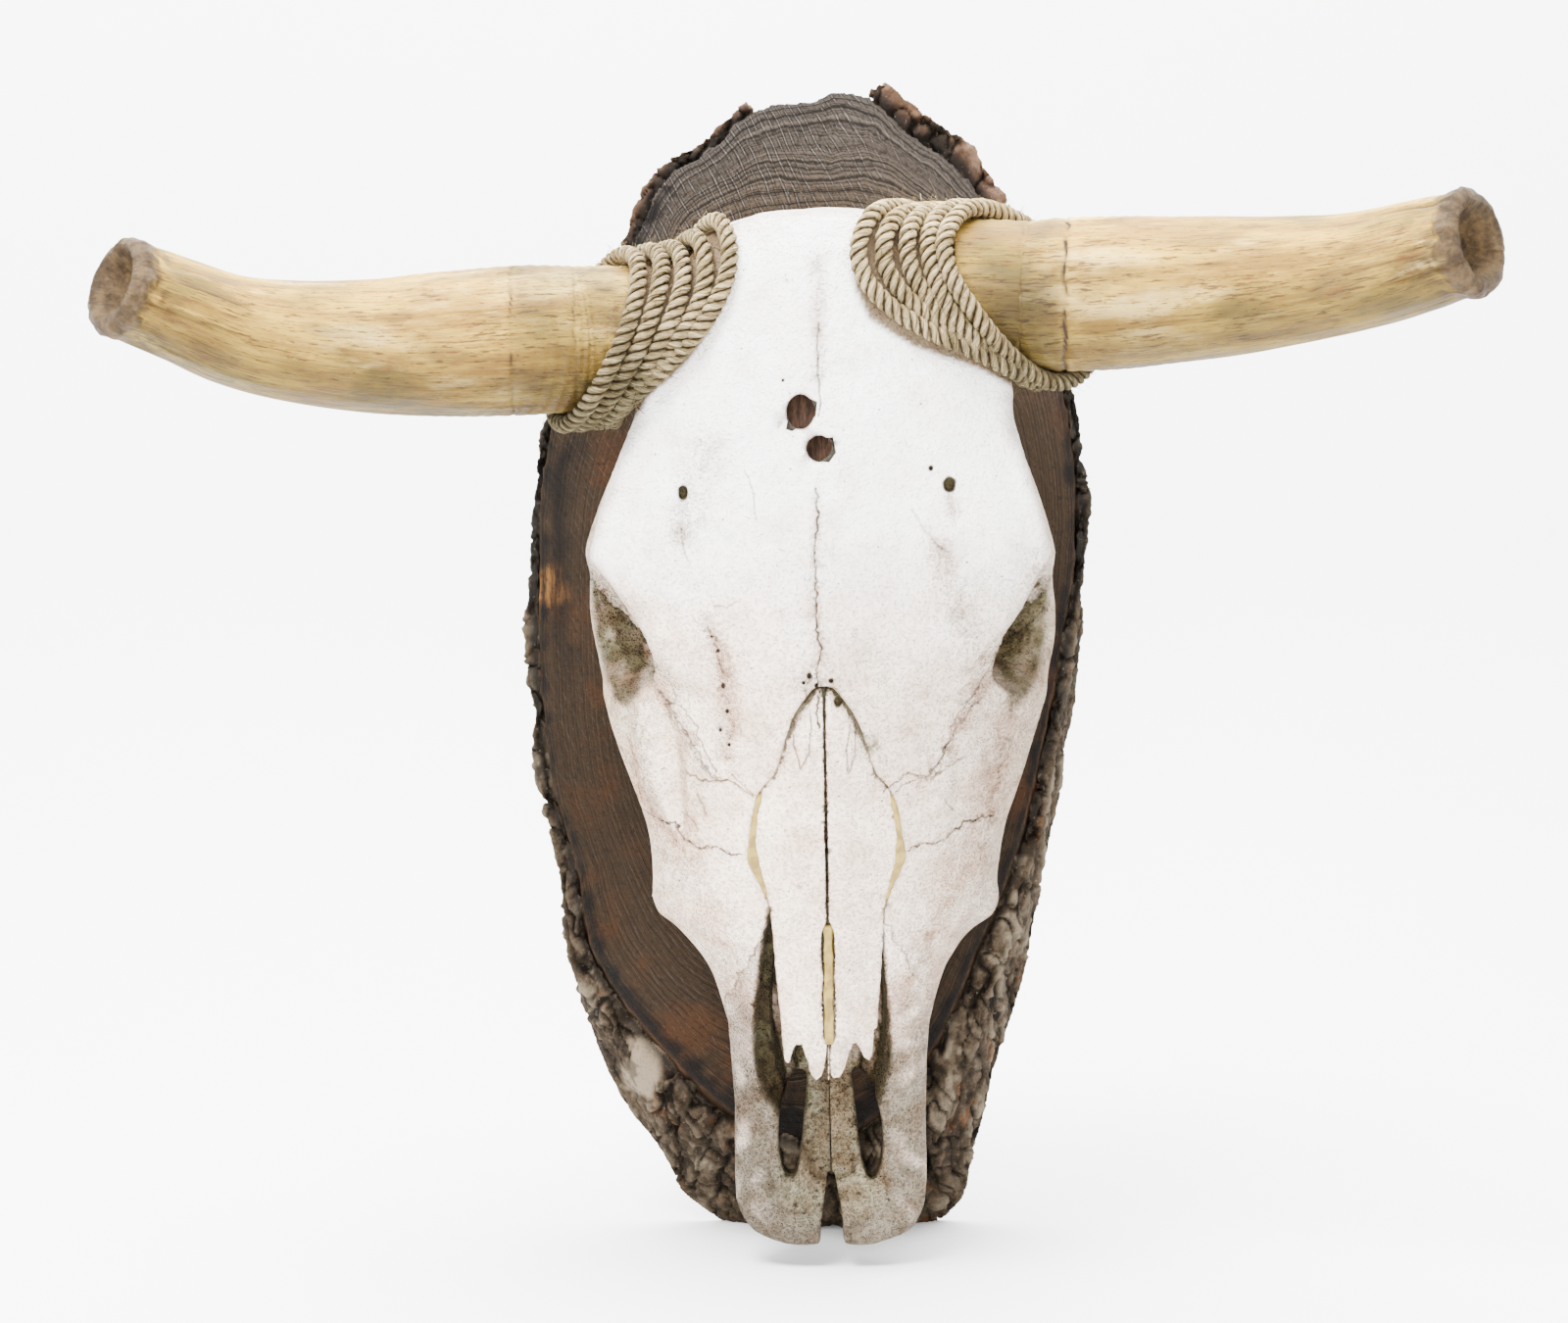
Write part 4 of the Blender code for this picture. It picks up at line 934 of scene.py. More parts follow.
def fine_places(marks):
    """Which points lie so close to a groove or a hole that they need a finer mesh."""
    grooves, holes, _ = marks

    def wanted(points):
        flags = np.zeros(len(points), bool)
        for half, _, stray, _, line in grooves:
            reach = (half + stray + FINE_MARGIN) * MM
            some = near(points, line, reach)
            flags[some] |= from_line(points[some], line) < reach
        for radius, _, tall, spot in holes:
            some = near(points, spot, radius * 3 * MM)
            flags[some] |= hole_reach(points[some], radius + FINE_RIM, tall, spot[0]) < 1.4
        return flags
    return wanted


def carve(mesh, marks, scale=1.0):
    """Sink the grooves, holes and worn zones into the bone, with a slight unevenness all over."""
    grooves, holes, zones = marks
    points, normals = points_of(mesh), normals_of(mesh)
    rise = 0.45 * cloud(points, 0.028, 1) + 0.16 * cloud(points, 0.011, 2) + 0.07 * cloud(points, 0.0045, 4)
    rise *= scale
    for radius, _, pore, hollow, line in zones:
        some, share = near_zone(points, radius, line)
        rough = cloud(points[some], 0.0042, 8)
        rise[some] -= share * (hollow + pore * 0.5 * np.maximum(0, rough - 0.05) * 2)
    for half, deep, stray, _, line in grooves:
        some, apart = near_groove(points, half, stray, line, 4)
        rise[some] -= deep * np.maximum(0, 1 - apart ** 2) ** 0.7
    steps = normals * (rise * MM)[:, None]
    for radius, deep, tall, spot in holes:
        some = near(points, spot, radius * 4 * MM)
        share = 1 - smooth(0.55, 1.15, hole_reach(points[some], radius, tall, spot[0]))
        facing = np.maximum(0, -normals[some, 1])
        steps[some, 1] += deep * MM * share * facing
    set_points(mesh, points + steps)


def sink_nose(mesh, tree):
    """Push what the camera sees of the nose's rims back into its walls."""
    points = points_of(mesh)
    px, py = seen_at(points)
    steps = np.zeros_like(points)
    for deep, soft, corners in SINKS:
        share = within(px, py, corners, soft)
        for index in np.nonzero(share > 0.01)[0]:
            way = Vector(points[index]) - CAMERA_PLACE
            spot, _, _, away = tree.ray_cast(CAMERA_PLACE, way.normalized())
            if spot and away > way.length - SEEN_DEPTH:
                steps[index, 1] = deep * MM * share[index]
    push(mesh, steps)


def finder_of(spots):
    """Search tree over places, which gives back their indices."""
    finder = KDTree(len(spots))
    for index, spot in enumerate(spots):
        finder.insert(spot, index)
    finder.balance()
    return finder


def shelter_of(points, normals, tree):
    """How closed in each place is: the share of rays from it that soon meet bone."""
    rays = np.random.RandomState(5).normal(size=(SHELTER_RAYS, 3))
    rays /= np.linalg.norm(rays, axis=1, keepdims=True)
    closed = np.zeros(len(points))
    for index, (point, normal) in enumerate(zip(points, normals)):
        start = Vector(point + normal * SHELTER_LIFT)
        for ray in rays:
            way = (ray if ray @ normal > 0 else -ray) * 0.7 + normal * 0.5
            if tree.ray_cast(start, Vector(way), SHELTER_REACH)[0]:
                closed[index] += 1
    return closed / SHELTER_RAYS


def shelter_field(mesh, tree):
    """Shelter measured at some points of a mesh, to be looked up by place."""
    points, normals = points_of(mesh), normals_of(mesh)
    keep = np.random.RandomState(3).permutation(len(points))[:SHELTER_SPOTS]
    values = shelter_of(points[keep], normals[keep], tree)
    finder = finder_of(points[keep])
    return np.array([sum(values[index] for _, index, _ in finder.find_n(place, 3)) / 3 for place in points])


WHITE = np.array((0.93, 0.915, 0.885))
CREAM = np.array((0.70, 0.575, 0.475))
GREY = np.array((0.130, 0.108, 0.078))
# dark olive: mossy stain, which also serves as painted shade in the hollows and eye sockets
OLIVE = np.array((0.085, 0.072, 0.034))
# dark colour: dirt and painted shade in the cracks, painted shade inside the holes
DIRT_AND_SHADE = np.array((0.035, 0.025, 0.016))
# painted shade, dark olive, on the walls of the nose openings
WALL = np.array((0.048, 0.040, 0.018))
# darker tone: painted shade on the bone's sides, and real dirt in the worn zones
SIDE = np.array((0.40, 0.315, 0.245))
BAR = np.array((0.185, 0.165, 0.105))
# painted shade of the cheeks that lie set back from the front
CHEEK_SHADE = np.array((0.46, 0.37, 0.26))
ROPE_STAIN_AND_SHADE = np.array((0.10, 0.060, 0.018))
ROPE_SHADE = 0.016                 # how far from a lashing its stain and painted shade reach
BRIGHTEST = 0.95
ROPE_PATHS = {}


def blend(base, other, share):
    return base + (other - base) * share[:, None]


def tint_bone(mesh, marks, tree, name):
    """Paint tint, dirt and pores by place; the tint and the dirt also carry painted shade, and the tint
    carries painted light on the left of the face.
    """
    grooves, drilled, zones = marks
    points, normals = points_of(mesh), normals_of(mesh)
    px, py = seen_at(points)
    h = -points[:, 1] / MM - SLAB_THICK
    z = heights(points)
    front = smooth(55, 75, h) * smooth(-0.75, -0.35, -normals[:, 1])
    closed = shelter_field(mesh, tree)
    face = smooth(450, 330, z + 30 * cloud(points, 0.05, 12))
    tint = blend(np.tile(WHITE, (len(points), 1)), CREAM, face)
    # Painted shade: bone that turns away from the front gets the darker side tone and more dirt.
    side = smooth(0.92, 0.45, -normals[:, 1])
    tint = blend(tint, SIDE, side * (0.45 + 0.4 * face))
    soil_and_shade = 0.12 + 0.22 * face + 0.35 * np.maximum(0, cloud(points, 0.022, 13)) + 0.2 * side
    pore = 0.25 + 0.35 * face + 0.2 * side
    # Painted shade on the cheeks that lie set back from the front.
    behind = smooth(150, 95, h) * smooth(200, 330, z)
    tint = blend(tint, CHEEK_SHADE, 0.7 * behind)
    soil_and_shade += 0.35 * behind
    ragged_py = py + 45 * cloud(points, 0.020, 14) + 18 * cloud(points, 0.007, 17)
    muzzle = smooth(965, 1120, ragged_py)
    if "nasal" in name:
        muzzle = 0.25 * smooth(1030, 1110, ragged_py)
    if "premaxilla" not in name:
        # Painted light on the left of the face and painted shade on its right.
        tint *= 1 + (0.36 * smooth(880, 740, px) * face)[:, None]
        tint *= 1 - (0.20 * smooth(955, 1010, px) * face)[:, None]
    pale = smooth(0.05, 0.4, cloud(points, 0.017, 15)) * smooth(55, 95, np.abs(px - 847))
    tint = blend(tint, GREY, muzzle * (1 - 0.6 * pale))
    soil_and_shade += 0.5 * muzzle * (1 - 0.5 * pale)
    pore += 0.4 * muzzle
    if "premaxilla" in name:
        bars = within(px, py, MEDIAL_BARS, 14)
        tint = blend(tint, BAR, 0.75 * bars)
        soil_and_shade += 0.45 * bars
    for radius, dirt, pores, _, line in zones:
        some, share = near_zone(points, radius, line)
        soil_and_shade[some] += dirt * share
        pore[some] += pores * share
        tint[some] = blend(tint[some], SIDE, 0.45 * dirt * share)
    # Cracks and sutures darkened: real dirt and painted shade.
    for half, _, stray, dark, line in grooves:
        some, apart = near_groove(points, half, stray, line, 5)
        share = dark * np.clip(2.0 * (1.1 - apart), 0, 1)
        tint[some] = blend(tint[some], DIRT_AND_SHADE, share)
        soil_and_shade[some] += 0.3 * np.exp(-(apart / 3.0) ** 2)
    # Painted shade inside the holes.
    for radius, deep, tall, spot in drilled:
        some = near(points, spot, (radius * 4 + deep) * MM)
        level = np.where([True, False, True], points[some], spot[0])
        share = 1 - smooth(0.75, 1.25, hole_reach(level, radius, tall, spot[0]))
        share *= smooth(0.003, 0.0, spot[0][1] - points[some, 1])
        tint[some] = blend(tint[some], DIRT_AND_SHADE, share)
    # Painted shade in sheltered hollows: olive darkening and more dirt where rays soon meet bone.
    inside = smooth(0.40, 0.75, closed + 0.12 * cloud(points, 0.012, 16))
    tint = blend(tint, OLIVE, 0.9 * inside * (1 - 0.35 * smooth(0.5, 0.9, -normals[:, 1]) * (z > 420)))
    soil_and_shade += 0.5 * inside
    # Painted shade on the walls inside the nose openings.
    for _, soft, corners in SINKS:
        if "nasal" not in name:
            wall = within(px, py, corners, soft + 2) * (h > 45)
            tint = blend(tint, WALL, 0.92 * wall)
            soil_and_shade += 0.5 * wall
    # Eye socket floors: mossy olive stain with painted shade.
    for corners in SOCKETS:
        floor = within(px, py, corners, 6.0) * front
        tint = blend(tint, OLIVE, np.clip(floor * (0.95 + 0.5 * cloud(points, 0.012, 18)), 0, 0.97))
        soil_and_shade += 0.3 * floor
    # Stain and painted shade on the bone under and between the turns of the lashings.
    bound = within_reach(points, np.concatenate(list(ROPE_PATHS.values())), ROPE_SHADE)
    bound *= np.maximum(within(px, py, LASHED[0], 3), within(px, py, LASHED[1], 3))
    tint = blend(tint, ROPE_STAIN_AND_SHADE, 0.95 * bound)
    soil_and_shade += 0.4 * bound
    if name == "premaxilla_right":
        tint *= 1.35
    if "nasal" in name:
        tint *= 1.12
    put(mesh, "tint", np.concatenate([np.clip(tint, 0, BRIGHTEST), np.ones((len(points), 1))], axis=1))
    put(mesh, "soil_and_shade", np.clip(soil_and_shade, 0, 1.3))
    put(mesh, "pore", np.clip(pore, 0, 1))


def within_reach(points, spots, reach):
    """1 on points close to any of the spots, 0 beyond the reach."""
    apart = np.zeros(len(points))
    finder = finder_of(spots)
    for index in near(points, spots, reach):
        apart[index] = finder.find(points[index])[2]
    return np.where(apart > 0, smooth(reach, reach * 0.6, apart), 0.0)


def prism(edge, nearest, farthest):
    """Closed cutter along the lines of sight through an outline of pixels, between two distances."""
    spots = []
    for away in (nearest, farthest):
        for px, py in edge:
            way = sight(px, py)
            spots.append(CAMERA_PLACE + way * (away / way.y))
    count = len(edge)
    faces = [tuple(range(count)), tuple(range(2 * count - 1, count - 1, -1))]
    faces += [(k, (k + 1) % count, (k + 1) % count + count, k + count) for k in range(count)]
    return closed_object("prism", spots, faces)


def cut(obj, cutter):
    """Take the cutter away from the object, and from the scene."""
    with_modifier(obj, "BOOLEAN", operation="DIFFERENCE", solver="MANIFOLD", object=cutter)
    bpy.data.objects.remove(cutter)


def dress(obj, name, slot_name, material, *nodes):
    """Name a finished piece, give it its finish and hand it to the frame."""
    obj.name = name
    obj.data.name = name
    obj.data.materials.clear()
    obj.data.materials.append(material)
    obj.data.polygons.foreach_set("material_index", np.zeros(len(obj.data.polygons), np.int32))
    obj.data.shade_smooth()
    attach(obj, "root")
    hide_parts(*nodes)


EDGE_COLUMN = 840                  # pixel column of the skull's middle
PIXEL = 0.00056                    # size of a pixel at the skull
# at some rows of the photograph, how far the bone's edge comes in on the left and on the right, and how
# wide half the skull is, all in pixels
EDGES = ((300, 0, 0, 150), (380, 6, 0, 180), (450, 7, 2, 205), (500, 6, 3, 225), (540, 4, 3, 240),
         (562, 1, 1, 246), (590, 9, 7, 247), (650, 11, 5, 243), (700, 8, 3, 235), (750, 8, 7, 215),
         (800, 10, 8, 195), (850, 10, 8, 182), (900, 5, 7, 182), (950, 7, 9, 165), (1000, 3, 3, 125),
         (1060, 1, 0, 110), (1100, 0, 0, 105))


def slimmer(mesh):
    """Bring the bone's outer edges in to where the photograph has them."""
    points = points_of(mesh)
    px, py = seen_at(points)
    rows, left, right, half = np.array(EDGES, float).T
    off = px - EDGE_COLUMN
    step = np.where(off < 0, np.interp(py, rows, left), -np.interp(py, rows, right))
    points[:, 0] += step * smooth(0.5, 0.97, np.abs(off) / np.interp(py, rows, half)) * PIXEL
    set_points(mesh, points)


def nasal_spread(name, mesh):
    """How far each point of a nasal bone moves out: more at the outer side, most in its upper part."""
    points, normals = points_of(mesh), normals_of(mesh)
    outer = smooth(0.0, 0.3, normals[:, 0] * (-1 if name == "nasal_left" else 1))
    upper = smooth(-0.035, 0.0, points[:, 2])
    spread = -0.0003 + outer * (0.0014 + 0.0008 * upper) + 0.0004 * cloud(points, 0.005, 19)
    return normals * spread[:, None] * (1, 0, 1)


def make_skull():
    """The cranium, maxillae and premaxillae, cut from one melted shape, and the two nasal bones."""
    bone = rounded("coarse_bones", BONES)
    slimmer(bone.data)
    nasals = rounded("coarse_nasals", NASALS)
    tree = tree_of([bone, nasals])
    marks = marks_on(tree)
    swell(bone.data, CLOSE_UP * MM)
    remeshed(bone, BONE_VOXEL, 4)
    swell(bone.data, -CLOSE_UP * MM)
    refined(bone, fine_places(marks), 2)
    sink_nose(bone.data, tree_of([bone]))
    carve(bone.data, marks)
    for cutter in (curtain(SUTURE_FACE, SUTURE_BASE, SUTURE_LEVELS), slot_cutter(),
                   curtain(MUZZLE_FACE, MUZZLE_BASE, MUZZLE_LEVELS)):
        cut(bone, cutter)
    for deep, edge in CHIPS:
        surface = -laid(edge, tree)[:, 1].min()
        cut(bone, prism(edge, CAMERA_AWAY - surface - CHIP_LEAD, CAMERA_AWAY - surface + deep * MM))
    white, grey = bone_paint("bleached_bone"), bone_paint("weathered_bone", 1.4)
    for part in loose_parts(bone):
        name = bone_name(part)
        tint_bone(part.data, marks, tree, name)
        dark = name.startswith("premaxilla")
        dress(part, name + "_bone", "bone_weathered" if dark else "bone", grey if dark else white, name)
    bpy.data.objects.remove(nasals)
    for name in NASALS:
        part = remeshed(rounded(name, [name]), NASAL_VOXEL, 2)
        push(part.data, nasal_spread(name, part.data))
        refined(part, fine_places(marks))
        carve(part.data, marks, NASAL_WEAR)
        edge = NASAL_ENDS[name]
        below = ((edge[-1][0], NOSE_ROW), (edge[0][0], NOSE_ROW))
        cut(part, prism(edge + below, NASAL_NEAR, CAMERA_AWAY))
        tint_bone(part.data, marks, tree, name)
        dress(part, name + "_bone", "bone", white, name)


GLUE_VOXEL = 0.5                   # mm
GLUE_MID_SCALE = (0.85, 1.0, 1.13)


def make_glue():
    """Lumpy beads of glue, the middle one drawn out and narrower than in CAD."""
    paint = glue_paint()
    for name in GLUES:
        part = remeshed(rounded(name, [name], crease=0.3), GLUE_VOXEL, 4)
        points = points_of(part.data)
        middle = points.mean(0)
        if name == "glue_mid":
            points = middle + (points - middle) * GLUE_MID_SCALE
            set_points(part.data, points)
        push(part.data, MM * (0.50 + 0.55 * cloud(points, 0.007, 21) + 0.3 * cloud(points, 0.003, 22)))
        dress(part, name + "_bead", "glue", paint, name)


# ---- horns --------------------------------------------------------------------------------
def rings_from(points, tris, first):
    """Rings of a swept solid as lists of points, in order from the first ring."""
    around = [set() for _ in points]
    for a, b, c in tris.tolist():
        around[a] |= {b, c}
        around[b] |= {a, c}
        around[c] |= {a, b}
    seen = set(first)
    level = list(first)
    rings = []
    while level:
        rings.append(points[level])
        level = list({n for v in level for n in around[v]} - seen)
        seen.update(level)
    return rings


CURVE_SAMPLES = 24                 # between two given places


def curve_through(rows, spacing):
    """Catmull-Rom samples of rows of numbers whose first three are a place, evenly spaced, and their run."""
    rows = np.asarray(rows, float)
    padded = np.concatenate([[2 * rows[0] - rows[1]], rows, [2 * rows[-1] - rows[-2]]])
    fine = []
    for k in range(len(rows) - 1):
        a, b, c, d = padded[k:k + 4]
        for t in np.linspace(0, 1, CURVE_SAMPLES, endpoint=False):
            fine.append(b + 0.5 * t * (c - a + t * (2 * a - 5 * b + 4 * c - d + t * (3 * (b - c) + d - a))))
    fine = np.array(fine + [rows[-1]])
    walk = np.concatenate([[0], np.cumsum(np.linalg.norm(np.diff(fine[:, :3], axis=0), axis=1))])
    even = np.linspace(0, walk[-1], max(2, int(walk[-1] / spacing)) + 1)
    return np.stack([np.interp(even, walk, fine[:, k]) for k in range(fine.shape[1])], axis=1), even


def carried_frames(points):
    """Heading and two side directions along a path, carried without twist."""
    ahead = np.gradient(points, axis=0)
    ahead /= np.linalg.norm(ahead, axis=1, keepdims=True)
    side = np.array((0.0, 0.0, 1.0))
    sides = []
    for way in ahead:
        side = side - way * (side @ way)
        side /= np.linalg.norm(side)
        sides.append(side)
    sides = np.array(sides)
    return ahead, sides, np.cross(ahead, sides)


HORN_SIDES = 18                    # of the CAD horn
HORN_TURN = 176                    # points round the detailed horn
HORN_STEP = 0.0013                 # between its rings
ROOT_RIDGE = 0.0075                # between the ridges round its root
TIP_RINGS = 6                      # rings of the CAD horn that make its worn tip
TIP_STEP = 0.0008
TIP_DENT = 0.007                   # how far the middle of the tip is sunk
TIP_HOLLOW = 0.0065                # how far the old horn inside the tip's rim is sunk
TIP_TILT = 0.18                    # slope of the tip's cut, towards the wall
GRAIN_RADIUS = 0.035               # of the even cylinder on which the grain is laid
# grooves round each horn: pixel column, depth (mm), width; inwards of the first one the horn is dusky
HORN_GROOVES = {"horn_left": ((523, 0.9, 0.55), (588, 0.5, 0.5)),
                "horn_right": ((1085, 1.2, 0.8), (1040, 0.35, 0.5))}


def horn_line(node):
    """Centre, radius, run and side directions of a horn's rings, its last heading, and how many are body."""
    points, tris = merged(node)
    first = np.argsort(np.abs(points[:, 0]))[:HORN_SIDES]
    rings = rings_from(points, tris, first)
    centres = np.array([ring.mean(0) for ring in rings])
    radii = np.array([np.linalg.norm(ring - ring.mean(0), axis=1).mean() for ring in rings])
    body = len(rings) - TIP_RINGS
    spine, along = curve_through(np.column_stack([centres[:body], radii[:body]]), HORN_STEP)
    ahead, side, other = carried_frames(spine[:, :3])
    tip, heading = spine[-1, :3], ahead[-1]
    reach = (centres[body:] - tip) @ heading
    profile = np.column_stack([reach, np.zeros(TIP_RINGS), np.zeros(TIP_RINGS), radii[body:]])
    start = np.array([[0.0, 0.0, 0.0, radii[body - 1]]])
    worn = curve_through(np.concatenate([start, profile]), TIP_STEP)[0][1:]
    fill = len(worn)
    centre = np.concatenate([spine[:, :3], tip + heading * worn[:, :1]])
    radius = np.concatenate([spine[:, 3], worn[:, 3]])
    run = np.concatenate([along, along[-1] + np.cumsum(np.full(fill, TIP_STEP))])
    side = np.concatenate([side, np.repeat(side[-1:], fill, 0)])
    other = np.concatenate([other, np.repeat(other[-1:], fill, 0)])
    return centre, radius, run, side, other, heading, len(spine)


def tube_faces(count, around):
    """Squares between rings of points, and triangles from the first and last ring to two hubs after them."""
    rows = np.arange(count * around).reshape(count, around)
    right = np.roll(rows, -1, axis=1)
    faces = np.stack([rows[:-1], right[:-1], right[1:], rows[1:]], axis=-1).reshape(-1, 4).tolist()
    hub = count * around
    for k in range(around):
        faces.append((hub, right[0, k], rows[0, k]))
        faces.append((hub + 1, rows[-1, k], right[-1, k]))
    return faces


def make_horn(node, paint):
    """A horn with fibres, ridges at its root, cracks, grooves round it and a worn tip of old horn."""
    centre, radius, run, side, other, heading, body = horn_line(node)
    turn = 2 * np.pi * np.arange(HORN_TURN) / HORN_TURN
    out = side[:, None] * np.cos(turn)[None, :, None] + other[:, None] * np.sin(turn)[None, :, None]
    outward = out.reshape(-1, 3)
    count = len(centre)
    s = np.repeat(run, HORN_TURN)
    angle = np.tile(turn, count)
    grain = np.column_stack([GRAIN_RADIUS * np.cos(angle), GRAIN_RADIUS * np.sin(angle), s])
    fibre = grain * (1, 1, 0.05)
    rise = 0.9 * cloud(grain * (1, 1, 0.5), 0.03, 51) + 0.35 * cloud(grain * (1, 1, 0.25), 0.011, 52)
    rise += 0.30 * cloud(fibre, 0.0035, 53) + 0.16 * cloud(fibre, 0.0016, 54)
    total, tip = run[body - 1], centre[body - 1]
    flaw = 0.35 * smooth(0.15, 0.45, cloud(grain * (1, 1, 0.35), 0.012, 68))
    places = (centre[:, None] + out * radius[:, None, None]).reshape(-1, 3)
    px = MIDDLE_PX[0] + FOCAL_PX * (places[:, 0] - CAMERA_PLACE.x) / (places[:, 1] - CAMERA_PLACE.y)
    for column, deep, wide in HORN_GROOVES[node]:
        shift = 5.0 * cloud(grain * (1, 1, 0), 0.02, 55) + 2.5 * cloud(grain, 0.006, 56)
        share = np.exp(-((px - column + shift) / (wide * 2.2)) ** 2)
        rise -= deep * share
        flaw = np.maximum(flaw, 1.5 * deep * share * np.clip(0.55 + 1.3 * cloud(grain, 0.008, 66), 0, 1))
    hand, shade = (1, 0.65) if node == "horn_left" else (-1, 0.85)
    inwards = hand * (px - HORN_GROOVES[node][0][0])
    dusk = shade * smooth(-10, 10, inwards) * (0.8 + 0.6 * cloud(grain, 0.02, 65))
    ridges = np.sin(2 * np.pi * (s / ROOT_RIDGE + 0.5 * cloud(grain, 0.03, 57)))
    rise += 0.22 * ridges * smooth(0.16, 0.04, s)
    split = cloud(grain * (1, 1, 0.03), 0.005, 58)
    crack = smooth(0.44, 0.54, split) * smooth(total - 0.060, total - 0.01, s)
    rise -= 0.9 * crack
    flaw = np.maximum(flaw, 0.7 * crack)
    capped = smooth(total - 0.006, total + 0.002, s + 0.006 * cloud(grain, 0.01, 59))
    flake = smooth(total - 0.022, total - 0.004, s + 0.014 * cloud(grain * (1, 1, 0.4), 0.012, 60))
    rise -= 1.0 * flake * (1 - capped)
    rise += capped * (1.4 * cloud(places, 0.010, 61) + 1.0 * cloud(places, 0.004, 62))
    flaw = np.maximum(flaw, 0.6 * flake * smooth(-0.05, 0.25, cloud(grain, 0.006, 63)))
    border = np.exp(-((s - total + 0.003 + 0.006 * cloud(grain, 0.01, 59)) / 0.0022) ** 2)
    flaw = np.maximum(flaw, 0.85 * border * smooth(-0.2, 0.1, cloud(grain, 0.008, 67)))
    hollow = np.repeat(smooth(0.80, 0.42, radius / radius[body - 1]), HORN_TURN) * (s > total)
    hollow *= 1 + 0.5 * cloud(places, 0.012, 64)
    flaw = np.maximum(flaw, 0.55 * hollow)
    turned = TIP_TILT * (places[:, 1] - tip[1]) * smooth(total - 0.035, total + 0.004, s)
    places = places + heading * (turned - TIP_HOLLOW * hollow)[:, None]
    places = places + outward * (rise * MM * smooth(0.0, 0.004, s))[:, None]
    places = np.concatenate([places, [centre[0], centre[-1]]])
    places[-1] -= heading * TIP_DENT
    obj = object_of(node + "_sheath", places.tolist(), tube_faces(count, HORN_TURN))
    hubs = np.array([0, len(s) - 1])
    # up, the upward turn of the surface, carries painted light on top and painted shade underneath
    for name, values in (("grain", grain), ("flaw", flaw), ("cap", capped), ("dusk", np.clip(dusk, 0, 1)),
                         ("up", outward[:, 2])):
        put(obj.data, name, np.concatenate([values, values[hubs]]))
    dress(obj, node + "_sheath", "horn", paint, node)


# ---- rope ---------------------------------------------------------------------------------
STRAND_RADIUS = 0.00218
STRAND_OFFSET = 0.00262            # from the rope's centre line to a strand's
ROPE_LAY = 0.0170                  # one full turn of a strand
FIBRE_LAY = 0.014                  # one full turn of a fibre in its strand
ROPE_SPACING = 0.00125
ROPE_PATH_STEP = 0.004
ROPE_SIDES = 6                     # of the CAD rope
CAP_EDGE = 0.009                   # triangles with shorter sides than this close the CAD rope's ends
FIBRE_DENSITY = 42000.0            # loose fibres to a square metre
FIBRE_TILT = (1.45, 1.45, 3.1)     # most they turn about each axis, in radians


def rope_path(node):
    """Centre line of a CAD rope, ring by ring from one end."""
    points, tris = merged(node)
    sides = points[tris]
    longest = np.max([np.linalg.norm(sides[:, k] - sides[:, (k + 1) % 3], axis=1) for k in range(3)], axis=0)
    caps = set(tris[longest < CAP_EDGE].ravel().tolist())
    start = min(caps, key=lambda v: points[v, 1] + points[v, 0])
    first = sorted(caps, key=lambda v: np.linalg.norm(points[v] - points[start]))[:ROPE_SIDES]
    centres = [ring.mean(0) for ring in rings_from(points, tris, first)]
    return curve_through(centres, ROPE_PATH_STEP)[0]


def stored(g, geometry, name, value, kind="FLOAT_VECTOR"):
    """Keep a value on the geometry, so that it can be read from the finished mesh."""
    return g.add("GeometryNodeStoreNamedAttribute", {"Geometry": geometry, "Name": name, "Value": value},
                 data_type=kind)


